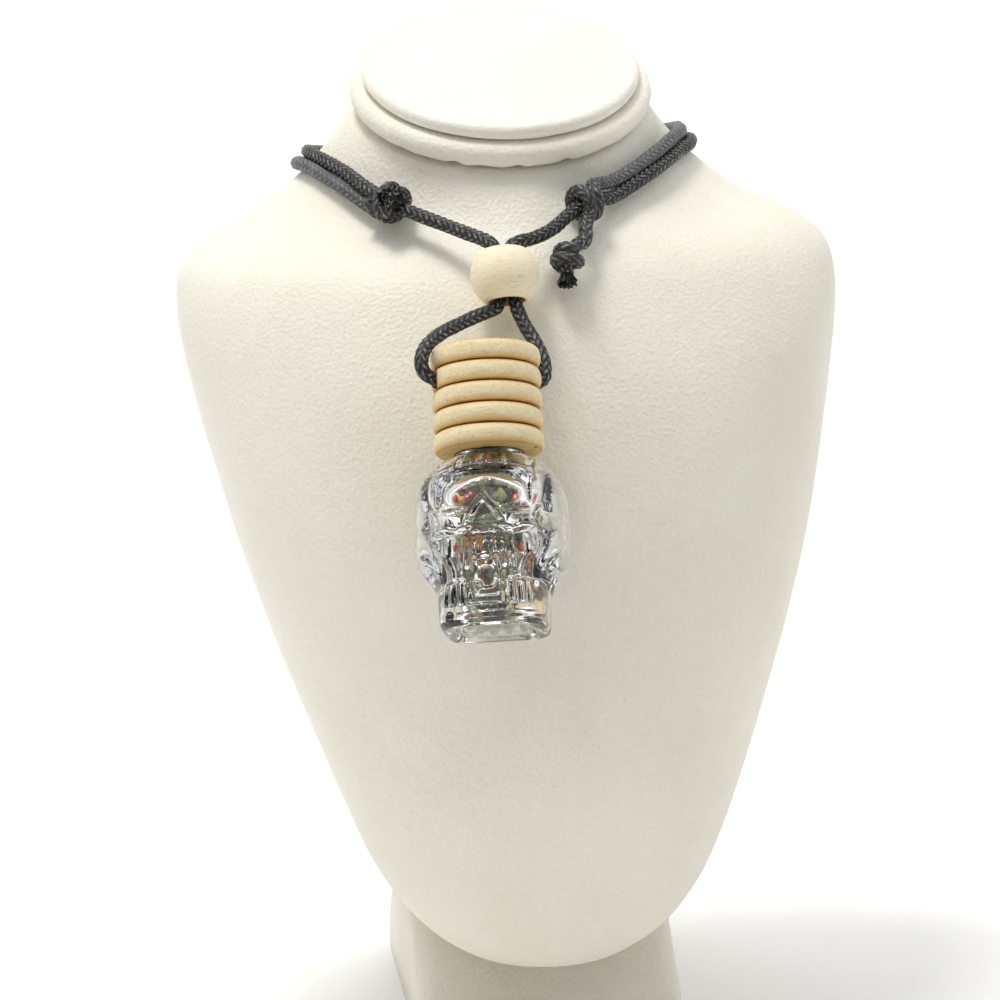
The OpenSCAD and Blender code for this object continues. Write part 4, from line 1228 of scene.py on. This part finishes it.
class StageOperator(bpy.types.Operator):
    """Set the camera, the lights, the floor and the backdrop"""
    bl_idname = "pendant.stage"
    bl_label = "Stage"

    def execute(self, context):
        props = context.scene.pendant_stage
        scene = context.scene
        self.camera(scene, props)
        self.backdrop(props)
        self.tent(scene, props)
        for name, place_at, toward, size, watts, colour in (
                ("main_light", (-0.20, 0.0, 1.12), (0, -0.03, 0.14), 0.28, props.key, "#FFFCF6"),
                ("wall_light_left", (-0.9, 0.55, 0.75), (-0.2, 1.9, 0.5), 0.8, 2.0 * props.key, "#FFFFFF"),
                ("wall_light_right", (0.9, 0.55, 0.75), (0.2, 1.9, 0.5), 0.8, 2.0 * props.key, "#FFFFFF")):
            lamp = bpy.data.lights.new(name, "AREA")
            lamp.shape = "DISK"
            lamp.size = size
            lamp.energy = watts
            lamp.color = linear(colour)
            aim = (Vector(toward) - Vector(place_at)).to_track_quat("-Z", "Y").to_matrix().to_4x4()
            added(name, lamp).matrix_world = Matrix.Translation(place_at) @ aim
        scene.view_settings.view_transform = "Standard"
        return {"FINISHED"}

    def camera(self, scene, props):
        """Stand the camera 750 mm from the chest, 7 degrees to the left, 13 degrees up and a bit rolled."""
        target = Vector((-8.8, -42.0, 122.0)) * MM
        back = Vector((-0.11875, -0.96711, 0.22495))
        right = Vector((0.99255, -0.12187, 0.0))
        up = back.cross(right)
        roll = math.radians(1.8)
        across = right * math.cos(roll) - up * math.sin(roll)
        above = up * math.cos(roll) + right * math.sin(roll)
        data = bpy.data.cameras.new("camera")
        data.lens = props.lens
        data.sensor_width = 36
        data.clip_start = 0.01
        scene.camera = added("camera", data)
        scene.camera.matrix_world = (Matrix.Translation(target + back * 0.750)
                                     @ Matrix((across, above, back)).transposed().to_4x4())

    def backdrop(self, props):
        """Matt white paint on a floor that sweeps up behind into a wall."""
        deselect()
        bpy.ops.mesh.primitive_plane_add(size=1, location=(0, 0, 0))
        floor = started("backdrop")
        self.sweep_up(floor)
        material, tree, shader = new_material("painted_backdrop", Roughness=0.9)
        coords = node(tree, "ShaderNodeTexCoord").outputs["Object"]
        # Clouds of the paint, about 17 cm across
        clouds = node(tree, "ShaderNodeTexNoise", Vector=coords, Scale=6.0).outputs["Fac"]
        paler = ramp(tree, clouds, (0.3, tuple(0.985 * c for c in props.floor)), (0.7, props.floor))
        tree.links.new(paler, shader.inputs["Base Color"])
        floor.data.materials.append(material)

    def tent(self, scene, props):
        """Light from all round, as in a white tent: strong above and at the sides, and weak from the front,
        where glass and gloss get more of it than matt surfaces."""
        world = bpy.data.worlds.new("light_tent")
        world.use_nodes = True
        tree = world.node_tree
        way = node(tree, "ShaderNodeTexCoord").outputs["Generated"]
        # The tent is brightest above and a little behind the object, and next to that at its sides
        brightest = (0, 0.40, 0.917)
        above = node(tree, "ShaderNodeVectorMath", {"operation": "DOT_PRODUCT"}, _0=way, _1=brightest)
        across = node(tree, "ShaderNodeSeparateXYZ", Vector=way).outputs["X"]
        side = maths(tree, "MULTIPLY", maths(tree, "ABSOLUTE", across), 0.54)
        near = maths(tree, "MAXIMUM", side, above.outputs["Value"])
        matt = node(tree, "ShaderNodeLightPath").outputs["Is Diffuse Ray"]
        front = node(tree, "ShaderNodeMapRange", Value=matt, _3=props.shine, _4=props.sky)
        level = node(tree, "ShaderNodeMapRange", {"interpolation_type": "SMOOTHSTEP"}, Value=near, _1=0.25,
                     _2=1.0, _3=front.outputs[0], _4=props.zenith)
        tree.links.new(level.outputs[0], tree.nodes["Background"].inputs["Strength"])
        tree.nodes["Background"].inputs["Color"].default_value = rgb(linear("#FDFDFF"))
        scene.world = world

    def sweep_up(self, floor):
        """Shape a studio sweep: a floor 6 m wide and 4 m deep that curves up behind into a wall."""
        pick(floor)
        bpy.ops.object.mode_set(mode="EDIT")
        bpy.ops.mesh.select_all(action="SELECT")
        bpy.ops.transform.resize(value=(6, 4, 1), center_override=(0, 0, 0))
        bpy.ops.transform.translate(value=(0, -0.7, 0))
        rear = 1.3
        mesh = bmesh.from_edit_mesh(floor.data)
        for edge in mesh.edges:
            edge.select_set(all(corner.co.y > rear - 0.1 for corner in edge.verts))
        mesh.select_flush_mode()
        bmesh.update_edit_mesh(floor.data)
        bpy.context.tool_settings.mesh_select_mode = (False, True, False)
        radius = 0.8
        before = 0.0
        for turn in np.linspace(0, math.pi / 2, 13)[1:]:
            behind = radius * (math.sin(turn) - math.sin(before))
            lift = radius * (math.cos(before) - math.cos(turn))
            bpy.ops.mesh.extrude_region_move(TRANSFORM_OT_translate={"value": (0, behind, lift)})
            before = turn
        bpy.ops.mesh.extrude_region_move(TRANSFORM_OT_translate={"value": (0, 0, 2.5)})
        bpy.ops.object.mode_set(mode="OBJECT")
        smooth(floor)


class PendantPanel(bpy.types.Panel):
    """Sizes, colours and steps of the bottle pendant"""
    bl_label = "Bottle pendant"
    bl_idname = "VIEW3D_PT_bottle_pendant"
    bl_space_type = "VIEW_3D"
    bl_region_type = "UI"
    bl_category = "Pendant"

    def draw(self, context):
        for name, settings in SETTINGS.items():
            group = getattr(context.scene, name)
            for prop in settings.__annotations__:
                self.layout.prop(group, prop)
        for step in STEPS:
            self.layout.operator(step.bl_idname)


SETTINGS = {
    "pendant_cord": CordSettings,
    "pendant_cover": CoverSettings,
    "pendant_glass": GlassSettings,
    "pendant_chips": ChipSettings,
    "pendant_wood": WoodSettings,
    "pendant_stage": StageSettings,
}
STEPS = (StageOperator, CordsOperator, BustOperator, BottleOperator, ChipsOperator, CapOperator, BeadOperator)


def register():
    for kind in (*SETTINGS.values(), *STEPS, PendantPanel):
        bpy.utils.register_class(kind)
    for name, settings in SETTINGS.items():
        setattr(bpy.types.Scene, name, bpy.props.PointerProperty(type=settings))


def unregister():
    for name in SETTINGS:
        delattr(bpy.types.Scene, name)
    for kind in reversed((*SETTINGS.values(), *STEPS, PendantPanel)):
        bpy.utils.unregister_class(kind)


def main():
    register()
    bpy.ops.pendant.stage()
    bpy.ops.pendant.cords()
    bpy.ops.pendant.bust()
    bpy.ops.pendant.bottle()
    bpy.ops.pendant.chips()
    bpy.ops.pendant.cap()
    bpy.ops.pendant.bead()


if __name__ == "__main__":
    main()
